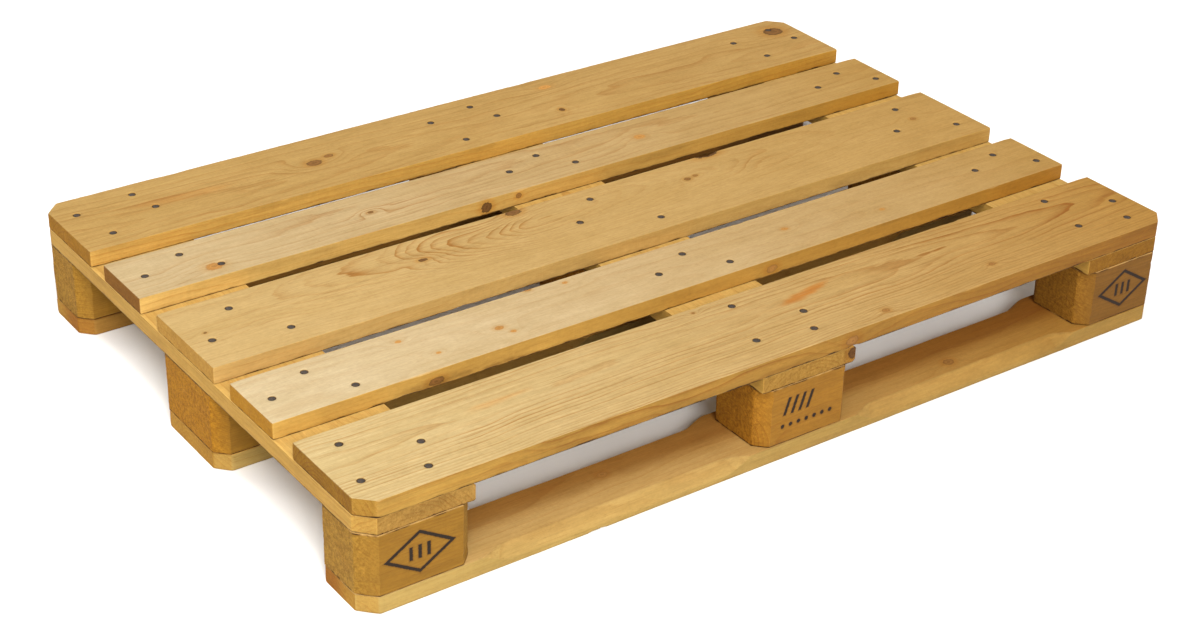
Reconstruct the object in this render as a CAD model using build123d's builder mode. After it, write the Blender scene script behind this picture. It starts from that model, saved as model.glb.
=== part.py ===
from build123d import *
import math
import os

# Four-way wooden block pallet, millimetres.
# Origin: bottom centre. +X runs along the long side, +Y across it, +Z is up.
# Five deck boards lie on three cross boards, the cross boards on nine blocks in
# three rows, and the blocks on three base boards. Every joint is nailed.

# ---------------------------------------------------------------- dimensions
length = 1200.0            # X, deck boards and base boards
width = 800.0              # Y, cross boards
deck_t = 22.0              # thickness of a deck board
cross_t = 22.0             # thickness of a cross board
block_h = 78.0             # height of a block
base_t = 22.0              # thickness of a base board

outer_w = 145.0            # outer and centre deck boards
inner_w = 100.0            # the two deck boards between them
inner_y = 163.75           # nominal centre line of an inner deck board
inner_shift = 2.75         # both inner boards were laid this far towards +Y

cross_w = 140.0            # cross board width along X
block_l = 140.0            # block length along X
side_block_w = 100.0       # block width along Y in the two outer rows
mid_block_w = 145.0        # block width along Y in the centre row

corner_cut = 20.0          # 45 degree cut down each corner of the pallet
end_cut = 17.0             # cut on the other end corners of the base boards
block_cut = 16.0           # chamfer down the other vertical edges of a block

lead_h = 16.0              # base board lead chamfer: height down the side
lead_w = 14.0              # and width across the top
lead_run = 40.0            # length over which it fades out at a block
lead_start = 6.0           # how far it starts beside the end face of a block

arris = 0.8                # eased long edges of the sawn boards

shank_r = 2.0              # nail shank
neck_r = 1.7               # bottom of the rings rolled into the shank
head_r = 4.0               # nail head
head_t = 1.2
head_bore_r = 4.3          # crushed recess that the head sits in
head_sink = 0.6            # top of the head below the face of the wood
tip_l = 6.0                # pointed end
nail_long = 88.0           # below the head: deck board, cross board and block
nail_short = 38.0          # deck board and cross board only
nail_base = 68.0           # from below: base board and block
tip_room = 0.6             # space left beyond a point

# ------------------------------------------------------------------- levels
z_base = base_t                        # top of the base boards
z_block = z_base + block_h             # top of the blocks
z_cross = z_block + cross_t            # top of the cross boards
z_deck = z_cross + deck_t              # top of the deck

row_y = {"front": -(width - side_block_w) / 2, "mid": 0.0,
         "back": (width - side_block_w) / 2}
row_w = {"front": side_block_w, "mid": mid_block_w, "back": side_block_w}
col_x = {"left": -(length - block_l) / 2, "centre": 0.0,
         "right": (length - block_l) / 2}

deck_y = {"front_outer": -(width - outer_w) / 2,
          "front_inner": -inner_y + inner_shift,
          "centre": 0.0,
          "back_inner": inner_y + inner_shift,
          "back_outer": (width - outer_w) / 2}
deck_w = {"front_outer": outer_w, "front_inner": inner_w, "centre": outer_w,
          "back_inner": inner_w, "back_outer": outer_w}

# ------------------------------------------------------ nail positions (x, y)
# Long nails go through a deck board and a cross board into a block.
long_nails = {
    "front_outer": [(-483, -326.5), (-501, -371), (-574.5, -357),
                    (45, -330), (29, -368.5), (-46, -354),
                    (576, -324), (557, -367.5), (485.5, -351)],
    "centre": [(-521, 41.5), (-481, -36.5), (-571, -14.5),
               (1, 47), (49, -42.5), (-47.5, 0),
               (528, 46), (568, -36.5), (481.5, -9)],
    "back_outer": [(-571, 357), (-488, 373), (-477, 327),
                   (24.5, 372), (-49.5, 356), (41, 328),
                   (483, 357.5), (574.5, 325.5), (560, 370)],
}
# Short nails hold a deck board to a cross board between the blocks.
short_nails = {
    "front_outer": [(-559, -284), (-20, -275), (499, -276.5)],
    "front_inner": [(-517.5, -133.5), (-483, -188), (-574.5, -164),
                    (10.5, -137.5), (48, -185.5), (-45.5, -164.5),
                    (541, -137), (578.5, -182), (486.5, -159.5)],
    "back_inner": [(-510, 193.5), (-569, 165.5), (-477.5, 145.5),
                   (15, 193), (48.5, 148), (-42.5, 170),
                   (541, 188.5), (577.5, 143.5), (485, 164)],
    "back_outer": [(-553, 289), (-36.5, 285.5), (496.5, 294)],
}
# Base nails are driven upwards, three to a block, clear of the long ones.
base_pattern = {
    "front": [(-45, -22), (2, 24), (44, -13)],
    "mid": [(-40, 34), (4, -28), (46, 18)],
    "back": [(-45, 24), (2, -24), (42, 4)],
}
base_nails = {row: [(cx + dx, row_y[row] + dy)
                    for cx in col_x.values() for dx, dy in base_pattern[row]]
              for row in row_y}

os.makedirs("parts", exist_ok=True)


def long_edges(part):
    """Edges that run the whole way along X or Y."""
    return [e for e in part.edges()
            if e.length > 600 and abs(e.tangent_at(0.5).Z) < 0.01]


def at(points, z):
    return [Vector(x, y, z) for x, y in points]


def is_corner(v, size_x, size_y, x=0.0, y=0.0):
    """v, in a sketch centred on (x, y), is a corner of a rectangle of that
    size centred on the origin."""
    return (abs(abs(v.X + x) - size_x / 2) < 0.01
            and abs(abs(v.Y + y) - size_y / 2) < 0.01)


def on_pallet_corner(v, x, y):
    """v, in a sketch centred on (x, y), is a corner of the pallet's outline."""
    return is_corner(v, length, width, x, y)


# ---------------------------------------------------------------- deck boards
for name, y in deck_y.items():
    w = deck_w[name]
    nails_here = long_nails.get(name, []) + short_nails.get(name, [])
    with BuildPart() as deck_board:
        with BuildSketch(Plane((0, y, z_cross))) as outline:
            Rectangle(length, w)
            if name in ("front_outer", "back_outer"):
                side = -1 if y < 0 else 1
                chamfer(outline.vertices().group_by(Axis.Y)[0 if side < 0 else -1],
                        corner_cut)
        extrude(amount=deck_t)
        fillet(long_edges(deck_board.part), arris)
        with Locations(*at(nails_here, z_deck)):
            CounterBoreHole(radius=shank_r, counter_bore_radius=head_bore_r,
                            counter_bore_depth=head_sink + head_t, depth=deck_t + 2)
    deck_board.part.label = "deck_board_" + name
    export_step(deck_board.part, "parts/deck_board_%s.step" % name)

# --------------------------------------------------------------- cross boards
for name, x in col_x.items():
    through = [p for pts in long_nails.values() for p in pts if abs(p[0] - x) < cross_w / 2]
    blind = [p for pts in short_nails.values() for p in pts if abs(p[0] - x) < cross_w / 2]
    blind_depth = nail_short + head_sink + head_t - deck_t + tip_room
    with BuildPart() as cross_board:
        with BuildSketch(Plane((x, 0, z_block))) as outline:
            Rectangle(cross_w, width)
            if name == "left":
                chamfer(outline.vertices().group_by(Axis.X)[0], corner_cut)
            if name == "right":
                chamfer(outline.vertices().group_by(Axis.X)[-1], corner_cut)
        extrude(amount=cross_t)
        fillet(long_edges(cross_board.part), arris)
        with Locations(*at(through, z_cross)):
            Hole(radius=shank_r, depth=cross_t + 2)
        with Locations(*at(blind, z_cross)):
            Hole(radius=shank_r, depth=blind_depth)
    cross_board.part.label = "cross_board_" + name
    export_step(cross_board.part, "parts/cross_board_%s.step" % name)

# --------------------------------------------------------------------- blocks
down_depth = nail_long + head_sink + head_t - deck_t - cross_t + tip_room
up_depth = nail_base + head_sink + head_t - base_t + tip_room
for row, y in row_y.items():
    for col, x in col_x.items():
        w = row_w[row]
        from_top = [p for pts in long_nails.values() for p in pts
                    if abs(p[0] - x) < block_l / 2 and abs(p[1] - y) < w / 2]
        from_below = [p for p in base_nails[row] if abs(p[0] - x) < block_l / 2]
        with BuildPart() as block:
            with BuildSketch(Plane((x, y, z_base))) as outline:
                Rectangle(block_l, w)
                if row != "mid" and col != "centre":
                    chamfer([v for v in outline.vertices()
                             if on_pallet_corner(v, x, y)], corner_cut)
                chamfer([v for v in outline.vertices() if is_corner(v, block_l, w)],
                        block_cut)
            extrude(amount=block_h)
            with Locations(*at(from_top, z_block)):
                Hole(radius=shank_r, depth=down_depth)
            with Locations(*[Location(v, (180, 0, 0)) for v in at(from_below, z_base)]):
                Hole(radius=shank_r, depth=up_depth)
        block.part.label = "block_%s_%s" % (row, col)
        export_step(block.part, "parts/block_%s_%s.step" % (row, col))

# ---------------------------------------------------------------- base boards
# The lead chamfer lets a pallet truck's wheels climb over a base board. It is
# cut on both upper long edges in each bay and fades out beside the blocks.
lead_depth = lead_h * lead_w / math.hypot(lead_h, lead_w)
bay = (length - 3 * block_l) / 2
bay_x = block_l / 2 + bay / 2
top_len = bay + 2 * lead_start
low_len = top_len - 2 * lead_run
for row, y in row_y.items():
    w = row_w[row]
    with BuildPart() as base_board:
        with BuildSketch(Plane((0, y, 0))) as outline:
            Rectangle(length, w)
            if row != "mid":
                chamfer([v for v in outline.vertices()
                         if on_pallet_corner(v, 0, y)], corner_cut)
            chamfer([v for v in outline.vertices() if is_corner(v, length, w)],
                    end_cut)
        extrude(amount=base_t)
        for side in (-1, 1):
            for cx in (-bay_x, bay_x):
                edge = Vector(cx, y + side * w / 2, base_t)
                out = Vector(0, side * lead_h, lead_w).normalized()
                face = Plane(origin=edge - out * lead_depth,
                             x_dir=(1, 0, 0), z_dir=out)
                with BuildSketch(face):
                    Rectangle(low_len, 60)
                with BuildSketch(face.offset(lead_depth + 0.01)):
                    Rectangle(top_len, 60)
                loft(ruled=True, mode=Mode.SUBTRACT)
        with Locations(*[Location(v, (180, 0, 0)) for v in at(base_nails[row], 0)]):
            CounterBoreHole(radius=shank_r, counter_bore_radius=head_bore_r,
                            counter_bore_depth=head_sink + head_t, depth=base_t + 2)
    base_board.part.label = "base_board_" + row
    export_step(base_board.part, "parts/base_board_%s.step" % row)


# ---------------------------------------------------------------------- nails
def nail_outline(below):
    """Half section of a nail, head up: x is the radius, y the height, and the
    underside of the head is at y = 0. Rings are rolled into the lower shank."""
    pts = [(0, head_t), (head_r - 0.5, head_t), (head_r, head_t - 0.35),
           (head_r, 0), (shank_r, 0)]
    rings = 5
    first = -below * 0.45
    last = -(below - tip_l - 2.0)
    step = (last - first) / rings
    for i in range(rings):
        top = first + i * step
        pts += [(shank_r, top), (neck_r, top + 0.25 * step),
                (neck_r, top + 0.5 * step), (shank_r, top + 0.75 * step)]
    pts += [(shank_r, -(below - tip_l)), (0.3, -below), (0, -below)]
    return pts




with BuildPart() as long_nail:
    with BuildSketch(Plane.XZ):
        with BuildLine():
            Polyline(*nail_outline(nail_long), close=True)
        make_face()
    revolve(axis=Axis.Z)

with BuildPart() as short_nail:
    with BuildSketch(Plane.XZ):
        with BuildLine():
            Polyline(*nail_outline(nail_short), close=True)
        make_face()
    revolve(axis=Axis.Z)

with BuildPart() as base_nail:
    with BuildSketch(Plane.XZ):
        with BuildLine():
            Polyline(*nail_outline(nail_base), close=True)
        make_face()
    revolve(axis=Axis.Z)

z_seat = z_deck - head_sink - head_t       # underside of a head on the deck
z_under = head_sink + head_t               # underside of a head below

for board, points in long_nails.items():
    with BuildPart() as group:
        with Locations(*at(points, z_seat)):
            add(long_nail.part)
    group.part.label = "long_nails_deck_" + board
    export_step(group.part, "parts/long_nails_deck_%s.step" % board)

for board, points in short_nails.items():
    with BuildPart() as group:
        with Locations(*at(points, z_seat)):
            add(short_nail.part)
    group.part.label = "short_nails_deck_" + board
    export_step(group.part, "parts/short_nails_deck_%s.step" % board)

for row, points in base_nails.items():
    with BuildPart() as group:
        with Locations(*[Location(v, (180, 0, 0)) for v in at(points, z_under)]):
            add(base_nail.part)
    group.part.label = "base_nails_" + row
    export_step(group.part, "parts/base_nails_%s.step" % row)

print("deck gaps, front to back:",
      [round((deck_y[b] - deck_w[b] / 2) - (deck_y[a] + deck_w[a] / 2), 2)
       for a, b in zip(list(deck_y), list(deck_y)[1:])])
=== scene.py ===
import math

import bpy
import numpy as np
from mathutils import Matrix, Vector


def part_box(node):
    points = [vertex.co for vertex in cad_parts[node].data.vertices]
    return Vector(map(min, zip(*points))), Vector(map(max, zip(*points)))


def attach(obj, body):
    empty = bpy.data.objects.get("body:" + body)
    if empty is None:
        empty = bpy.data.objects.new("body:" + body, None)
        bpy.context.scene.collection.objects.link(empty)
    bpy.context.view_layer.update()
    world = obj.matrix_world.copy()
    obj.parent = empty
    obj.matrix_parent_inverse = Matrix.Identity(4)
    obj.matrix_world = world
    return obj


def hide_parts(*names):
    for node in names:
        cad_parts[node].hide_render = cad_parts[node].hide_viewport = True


# A sawn-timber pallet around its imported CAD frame. Lengths in this script are in
# millimetres until a mesh is made; the scene itself is in metres.

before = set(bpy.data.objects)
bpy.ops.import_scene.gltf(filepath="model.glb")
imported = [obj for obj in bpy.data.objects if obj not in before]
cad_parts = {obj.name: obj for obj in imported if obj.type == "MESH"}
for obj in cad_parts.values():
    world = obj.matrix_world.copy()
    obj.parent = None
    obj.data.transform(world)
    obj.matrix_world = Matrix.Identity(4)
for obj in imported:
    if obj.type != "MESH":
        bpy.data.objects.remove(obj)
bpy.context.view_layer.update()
scene = bpy.context.scene
MM = 0.001


# --------------------------------------------------------------------- camera
camera_data = bpy.data.cameras.new("camera")
camera_data.sensor_width = 36.0
camera_data.sensor_fit = "HORIZONTAL"
camera_data.lens = 2258.205 / 1200.0 * 36.0
camera_data.clip_start, camera_data.clip_end = 0.05, 60.0
camera = bpy.data.objects.new("camera", camera_data)
right = Vector((0.8146779, -0.579322, 0.0261913))
down = Vector((-0.268272, -0.4165317, -0.8686377))
ahead = Vector((0.5141305, 0.7006335, -0.494755))
turn = Matrix((right, -down, -ahead)).transposed().to_4x4()
camera.matrix_world = Matrix.Translation((-1.530947, -2.070477, 1.451733)) @ turn
scene.collection.objects.link(camera)
scene.camera = camera


# ---------------------------------------------------------------------- noise
def lattice(ix, iy, iz, seed):
    n = (ix.astype(np.uint32) * np.uint32(374761393)
         + iy.astype(np.uint32) * np.uint32(668265263)
         + iz.astype(np.uint32) * np.uint32(2246822519)
         + np.uint32((seed * 3266489917 + 12345) & 0xFFFFFFFF))
    n ^= n >> np.uint32(15)
    n *= np.uint32(2246822519)
    n ^= n >> np.uint32(13)
    n *= np.uint32(3266489917)
    n ^= n >> np.uint32(16)
    return n.astype(np.float64) / 2147483647.5 - 1.0


def noise(p, scale, seed, octaves=1):
    """Smooth noise from about -1 to 1 at points p (n, 3), features about scale mm."""
    q = p / np.asarray(scale, float) + (seed % 97) * 3.371
    total, amp, norm = 0.0, 1.0, 0.0
    for o in range(octaves):
        i = np.floor(q).astype(np.int64)
        f = q - i
        w = f * f * f * (f * (f * 6 - 15) + 10)
        v = 0.0
        for dx in (0, 1):
            wx = w[:, 0] if dx else 1 - w[:, 0]
            for dy in (0, 1):
                wy = w[:, 1] if dy else 1 - w[:, 1]
                for dz in (0, 1):
                    wz = w[:, 2] if dz else 1 - w[:, 2]
                    v = v + wx * wy * wz * lattice(
                        i[:, 0] + dx, i[:, 1] + dy, i[:, 2] + dz, seed + 31 * o)
        total = total + amp * v
        norm += amp
        amp *= 0.5
        q = q * 2.03 + 11.7
    return total / norm


def noise1(x, scale, seed, octaves=1):
    x = np.asarray(x, float)
    p = np.stack([x, np.full_like(x, 7.3), np.full_like(x, 3.1)], 1)
    return noise(p, (scale, 50.0, 50.0), seed, octaves)


def smooth(a, b, x):
    t = np.clip((x - a) / (b - a), 0.0, 1.0)
    return t * t * (3 - 2 * t)


def grid_lines(lo, hi, step, special=(), gap=0.6):
    """Lines from lo to hi: every step, and finer ones round each (place, reach, fine)."""
    keep = [lo, hi]
    ends = [0.5, 1.2, 2.6, 5.0]
    wanted = [lo + e for e in ends] + [hi - e for e in ends]
    for place, reach, fine in special:
        k = int(round(reach / fine))
        wanted += [place + fine * i for i in range(-k, k + 1)]
    wanted += list(np.linspace(lo, hi, max(2, int(round((hi - lo) / step)) + 1)))
    for x in wanted:
        if lo < x < hi and min(abs(x - k) for k in keep) >= (gap if x - lo > 4 and hi - x > 4 else 0.45):
            keep.append(x)
    return np.array(sorted(keep))


# --------------------------------------------------------------- swept timber
# A timber is a section in (v, w) swept along u. Its four long edges each have a
# bevel (width along v, height along w), its ends a small rounding, and nails can
# leave a dished bore in the top or the bottom face.
class Timber:
    def __init__(self, us, vs, nw, nc):
        self.us, self.vs, self.nw, self.nc = us, vs, nw, nc
        self.S, self.nv = len(us), len(vs) - 1
        self.P = 2 * self.nv + 2 * nw + 4 * nc

    def sweep(self, vlo, vhi, wlo, whi, edges, margin, ws=None):
        """vlo.. are per-station limits; edges maps BR TR TL BL to (cw, ch, bulge) arrays."""
        S, nv, nw, nc, P = self.S, self.nv, self.nw, self.nc, self.P
        g = np.zeros((S, P, 3))
        g[:, :, 0] = self.us[:, None]
        v0, v1 = self.vs[0], self.vs[-1]
        a, b = v0 + margin, v1 - margin

        def across(lo, hi):
            v = self.vs[None, :]
            left = lo[:, None] + (v - v0) * (a - lo[:, None]) / (a - v0)
            rite = hi[:, None] - (v1 - v) * (hi[:, None] - b) / (v1 - b)
            return np.where(v < a, left, np.where(v > b, rite, v))

        frac = np.linspace(0, 1, nw + 1) if ws is None else ws

        def corner(px, pw, qx, qw, kx, kw, bulge):
            t = np.linspace(0, 1, nc + 1)[None, :]
            cx = bulge * kx + (1 - bulge) * (px + qx) / 2
            cw = bulge * kw + (1 - bulge) * (pw + qw) / 2
            x = (1 - t) ** 2 * px[:, None] + 2 * t * (1 - t) * cx[:, None] + t ** 2 * qx[:, None]
            w = (1 - t) ** 2 * pw[:, None] + 2 * t * (1 - t) * cw[:, None] + t ** 2 * qw[:, None]
            return x, w

        (brw, brh, brb), (trw, trh, trb) = edges["BR"], edges["TR"]
        (tlw, tlh, tlb), (blw, blh, blb) = edges["TL"], edges["BL"]
        i = 0
        self.bottom = np.arange(0, nv + 1)
        g[:, self.bottom, 1] = across(vlo + blw, vhi - brw)
        g[:, self.bottom, 2] = wlo[:, None]
        x, w = corner(vhi - brw, wlo, vhi, wlo + brh, vhi, wlo, brb)
        c = nv + np.arange(nc + 1)
        g[:, c, 1], g[:, c, 2] = x, w
        self.right = nv + nc + np.arange(nw + 1)
        g[:, self.right, 1] = vhi[:, None]
        g[:, self.right, 2] = (wlo + brh)[:, None] + frac[None, :] * (whi - trh - wlo - brh)[:, None]
        x, w = corner(vhi, whi - trh, vhi - trw, whi, vhi, whi, trb)
        c = nv + nc + nw + np.arange(nc + 1)
        g[:, c, 1], g[:, c, 2] = x, w
        self.top = nv + 2 * nc + nw + np.arange(nv + 1)
        g[:, self.top, 1] = across(vlo + tlw, vhi - trw)[:, ::-1]
        g[:, self.top, 2] = whi[:, None]
        x, w = corner(vlo + tlw, whi, vlo, whi - tlh, vlo, whi, tlb)
        c = 2 * nv + 2 * nc + nw + np.arange(nc + 1)
        g[:, c, 1], g[:, c, 2] = x, w
        self.left = 2 * nv + 3 * nc + nw + np.arange(nw + 1)
        g[:, self.left, 1] = vlo[:, None]
        g[:, self.left, 2] = (whi - tlh)[:, None] - frac[None, :] * (whi - tlh - wlo - blh)[:, None]
        x, w = corner(vlo, wlo + blh, vlo + blw, wlo, vlo, wlo, blb)
        c = (2 * nv + 3 * nc + 2 * nw + np.arange(nc + 1)) % P
        g[:, c, 1], g[:, c, 2] = x, w
        self.grid = g
        self.idx = np.arange(S * P).reshape(S, P)
        self.pos = [g.reshape(-1, 3)]
        self.count = S * P
        self.quads, self.quv = [], []
        self.extra = []          # (kind, slice) for attributes of added vertices
        return self

    def unwrap(self, strips):
        """Main UVs. strips True: u across the texture's width; False: the loop is."""
        g, S, P = self.grid, self.S, self.P
        mid = g[S // 2]
        step = np.linalg.norm(np.diff(np.vstack([mid, mid[:1]]), axis=0), axis=1)
        arc = np.concatenate([[0], np.cumsum(step)])
        self.arc = arc / arc[-1]
        lo, hi = self.us[0], self.us[-1]
        su = 0.002 + 0.996 * (self.us - lo) / (hi - lo)
        self.strips = strips
        if strips:
            share = 0.86
            U, V = np.meshgrid(su, 0.002 + (share - 0.004) * self.arc, indexing="ij")
        else:
            share = 0.40
            V, U = np.meshgrid(0.004 + (share - 0.008) * (self.us - lo) / (hi - lo),
                               0.002 + 0.996 * self.arc, indexing="ij")
        self.share = share
        self.uvgrid = np.stack([U, V], -1)          # (S, P+1, 2)
        return self

    def bores(self, nails, face, seed, depth=2.4, reach=7.0):
        """Dished, slightly torn bores for nail heads at (u, v) in the top or bottom."""
        cols = self.top if face == "top" else self.bottom
        sign = -1.0 if face == "top" else 1.0
        g = self.grid
        rng = np.random.default_rng(seed)
        self.hole = getattr(self, "hole", np.zeros((self.S, self.P), bool))
        mid = g[self.S // 2]
        for (nu, nvv) in nails:
            rows = np.where(np.abs(self.us - nu) <= reach + 0.3)[0]
            vv = g[rows[len(rows) // 2], cols, 1]
            jj = np.where(np.abs(vv - nvv) <= reach + 0.3)[0]
            if len(rows) < 4 or len(jj) < 4:
                continue
            i0, i1, j0, j1 = rows[0], rows[-1], jj[0], jj[-1]
            for i in range(i0, i1):
                for j in range(j0, j1):
                    self.hole[i, cols[j]] = True
            ring = ([(i, j0) for i in range(i0, i1)] + [(i1, j) for j in range(j0, j1)]
                    + [(i, j1) for i in range(i1, i0, -1)] + [(i0, j) for j in range(j1, j0, -1)])
            outer = np.array([self.idx[i, cols[j]] for i, j in ring])
            op = np.array([g[i, cols[j]] for i, j in ring])
            ang = np.arctan2(op[:, 1] - nvv, op[:, 0] - nu)
            n = len(outer)
            z0 = op[:, 2].mean()
            k = rng.uniform(0.75, 1.3)
            oval = rng.uniform(1.05, 1.22)
            wob = rng.uniform(-1, 1, 3)
            lip = (1 + 0.05 * (wob[0] * np.cos(ang * 2 + 1) + wob[1] * np.sin(3 * ang)
                               + wob[2] * np.cos(5 * ang)))
            prof = [(6.3, 0.10), (5.6, 0.24), (5.0, 0.44), (4.62, 0.66), (4.40, 0.92),
                    (4.32, 1.35), (4.30, depth), (3.0, depth)]
            prev = outer
            prev_uv = self.uv_of(op, face, mid)
            for r, d in prof:
                stretch = 1 + (oval * lip - 1) * np.clip((r - 4.30) / 1.2, 0, 1)
                p = np.zeros((n, 3))
                p[:, 0] = nu + r * stretch * np.cos(ang)
                p[:, 1] = nvv + r * (1 + (lip - 1) * np.clip((r - 4.30) / 1.2, 0, 1)) * np.sin(ang)
                kk = k if d < depth else 1.0
                p[:, 2] = z0 + sign * d * kk
                ids = self.count + np.arange(n)
                self.count += n
                self.pos.append(p)
                uv = self.uv_of(p, face, mid)
                self.band(prev, prev_uv, ids, uv, closed=True)
                prev, prev_uv = ids, uv
            c = np.array([[nu, nvv, z0 + sign * depth]])
            cid = self.count
            self.count += 1
            self.pos.append(c)
            cuv = self.uv_of(c, face, mid)
            m = n // 2 * 2
            a = np.arange(0, m, 2)
            b, e = (a + 1) % n, (a + 2) % n
            self.quads.append(np.stack([prev[a], prev[b], prev[e], np.full(len(a), cid)], 1))
            self.quv.append(np.stack([prev_uv[a], prev_uv[b], prev_uv[e], np.repeat(cuv, len(a), 0)], 1))
        return self

    def uv_of(self, p, face, mid):
        cols = self.top if face == "top" else self.bottom
        v = mid[cols, 1]
        arc = self.arc[cols]
        order = np.argsort(v)
        a = np.interp(p[:, 1], v[order], arc[order])
        lo, hi = self.us[0], self.us[-1]
        return np.stack([0.002 + 0.996 * (p[:, 0] - lo) / (hi - lo),
                         0.002 + (self.share - 0.004) * a], 1)

    def band(self, a, auv, b, buv, closed):
        n = len(a)
        i = np.arange(n if closed else n - 1)
        j = (i + 1) % n
        self.quads.append(np.stack([a[i], a[j], b[j], b[i]], 1))
        self.quv.append(np.stack([auv[i], auv[j], buv[j], buv[i]], 1))

    def skin(self):
        S, P = self.S, self.P
        hole = getattr(self, "hole", np.zeros((S, P), bool))
        i, p = np.meshgrid(np.arange(S - 1), np.arange(P), indexing="ij")
        ok = ~hole[:-1, :]
        i, p = i[ok], p[ok]
        q = (p + 1) % P
        self.quads.append(np.stack([self.idx[i, p], self.idx[i + 1, p], self.idx[i + 1, q], self.idx[i, q]], 1))
        u = self.uvgrid
        self.quv.append(np.stack([u[i, p], u[i + 1, p], u[i + 1, p + 1], u[i, p + 1]], 1))
        return self

    def caps(self):
        """A structured grid closes each end."""
        nv, nw, nc, P = self.nv, self.nw, self.nc, self.P
        A, B = nv + nc, nw + nc
        h = nc // 2
        start = -h
        bottom = (start + np.arange(A + 1)) % P
        rite = (start + A + np.arange(B + 1)) % P
        top = (start + A + B + np.arange(A + 1)) % P
        left = (start + 2 * A + B + np.arange(B + 1)) % P
        for end, s in ((0, 0), (1, self.S - 1)):
            g = self.grid[s]
            ids = np.full((A + 1, B + 1), -1)
            pos = np.zeros((A + 1, B + 1, 3))
            for side, cells in ((bottom, [(i, 0) for i in range(A + 1)]),
                                (rite, [(A, j) for j in range(B + 1)]),
                                (top, [(A - i, B) for i in range(A + 1)]),
                                (left, [(0, B - j) for j in range(B + 1)])):
                for p, (i, j) in zip(side, cells):
                    ids[i, j] = self.idx[s, p]
                    pos[i, j] = g[p]
            s_ = np.linspace(0, 1, A + 1)[:, None, None]
            t_ = np.linspace(0, 1, B + 1)[None, :, None]
            # the inner grid keeps the spacing of the two sides it joins
            sb = self.spacing(pos[:, 0], 1)[:, None, None]
            tl = self.spacing(pos[0, :], 2)[None, :, None]
            coons = ((1 - tl) * pos[:, :1] + tl * pos[:, -1:] + (1 - sb) * pos[:1, :] + sb * pos[-1:, :]
                     - (1 - sb) * (1 - tl) * pos[0, 0] - sb * (1 - tl) * pos[-1, 0]
                     - (1 - sb) * tl * pos[0, -1] - sb * tl * pos[-1, -1])
            inner = np.zeros((A + 1, B + 1), bool)
            inner[1:-1, 1:-1] = True
            k = int(inner.sum())
            ids[inner] = self.count + np.arange(k)
            self.count += k
            self.pos.append(coons[inner])
            pos[inner] = coons[inner]
            lo, hi = pos.reshape(-1, 3).min(0), pos.reshape(-1, 3).max(0)
            a = (pos[..., 1] - lo[1]) / (hi[1] - lo[1])
            b = (pos[..., 2] - lo[2]) / (hi[2] - lo[2])
            U = 0.01 + 0.48 * a + 0.5 * end
            V = self.share + 0.015 + (0.97 - self.share) * b
            uv = np.stack([U, V], -1)
            i, j = np.meshgrid(np.arange(A), np.arange(B), indexing="ij")
            i, j = i.ravel(), j.ravel()
            quad = [ids[i, j], ids[i + 1, j], ids[i + 1, j + 1], ids[i, j + 1]]
            quv = [uv[i, j], uv[i + 1, j], uv[i + 1, j + 1], uv[i, j + 1]]
            if end == 0:
                quad, quv = quad[::-1], quv[::-1]
            quad, quv = quad[::-1], quv[::-1]
            self.quads.append(np.stack(quad, 1))
            self.quv.append(np.stack(quv, 1))
        return self

    @staticmethod
    def spacing(line, axis):
        d = np.abs(line[:, axis] - line[0, axis])
        if d[-1] < 1e-6:
            return np.linspace(0, 1, len(line))
        return d / d[-1]

    def finish(self):
        p = np.concatenate(self.pos)
        q = np.concatenate(self.quads)
        uv = np.concatenate(self.quv)
        used = np.zeros(len(p), bool)
        used[q.ravel()] = True
        renum = np.cumsum(used) - 1
        return p[used], renum[q], uv


def normals_of(p, q):
    a, b, c, d = p[q[:, 0]], p[q[:, 1]], p[q[:, 2]], p[q[:, 3]]
    n = np.cross(c - a, d - b)
    out = np.zeros_like(p)
    for k in range(4):
        for ax in range(3):
            out[:, ax] += np.bincount(q[:, k], n[:, ax], len(p))
    return out / np.maximum(np.linalg.norm(out, axis=1, keepdims=True), 1e-12)


def volume_of(p, q):
    a, b, c, d = p[q[:, 0]], p[q[:, 1]], p[q[:, 2]], p[q[:, 3]]
    return float((np.einsum("ij,ij->i", a, np.cross(b, c)) + np.einsum("ij,ij->i", a, np.cross(c, d))).sum() / 6)


def make_object(name, p, q, uv, attributes, material, node, sharp=38):
    """A closed mesh, in metres, with its own bake UVs and named per-vertex fields."""
    mesh = bpy.data.meshes.new(name)
    mesh.from_pydata((p * MM).tolist(), [], q.tolist())
    layer = mesh.uv_layers.new(name="OFBake")
    layer.data.foreach_set("uv", uv.reshape(-1).astype(np.float32))
    for key, value in attributes.items():
        value = np.asarray(value, np.float32)
        if value.ndim == 1:
            mesh.attributes.new(key, "FLOAT", "POINT").data.foreach_set("value", value)
        else:
            mesh.attributes.new(key, "FLOAT_VECTOR", "POINT").data.foreach_set("vector", value.ravel())
    mesh.validate(clean_customdata=False)
    mesh.polygons.foreach_set("use_smooth", np.ones(len(mesh.polygons), bool))
    mesh.set_sharp_from_angle(angle=math.radians(sharp))
    mesh.materials.append(material)
    o = bpy.data.objects.new(name, mesh)
    scene.collection.objects.link(o)
    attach(o, "root")
    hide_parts(node)
    return o


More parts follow.
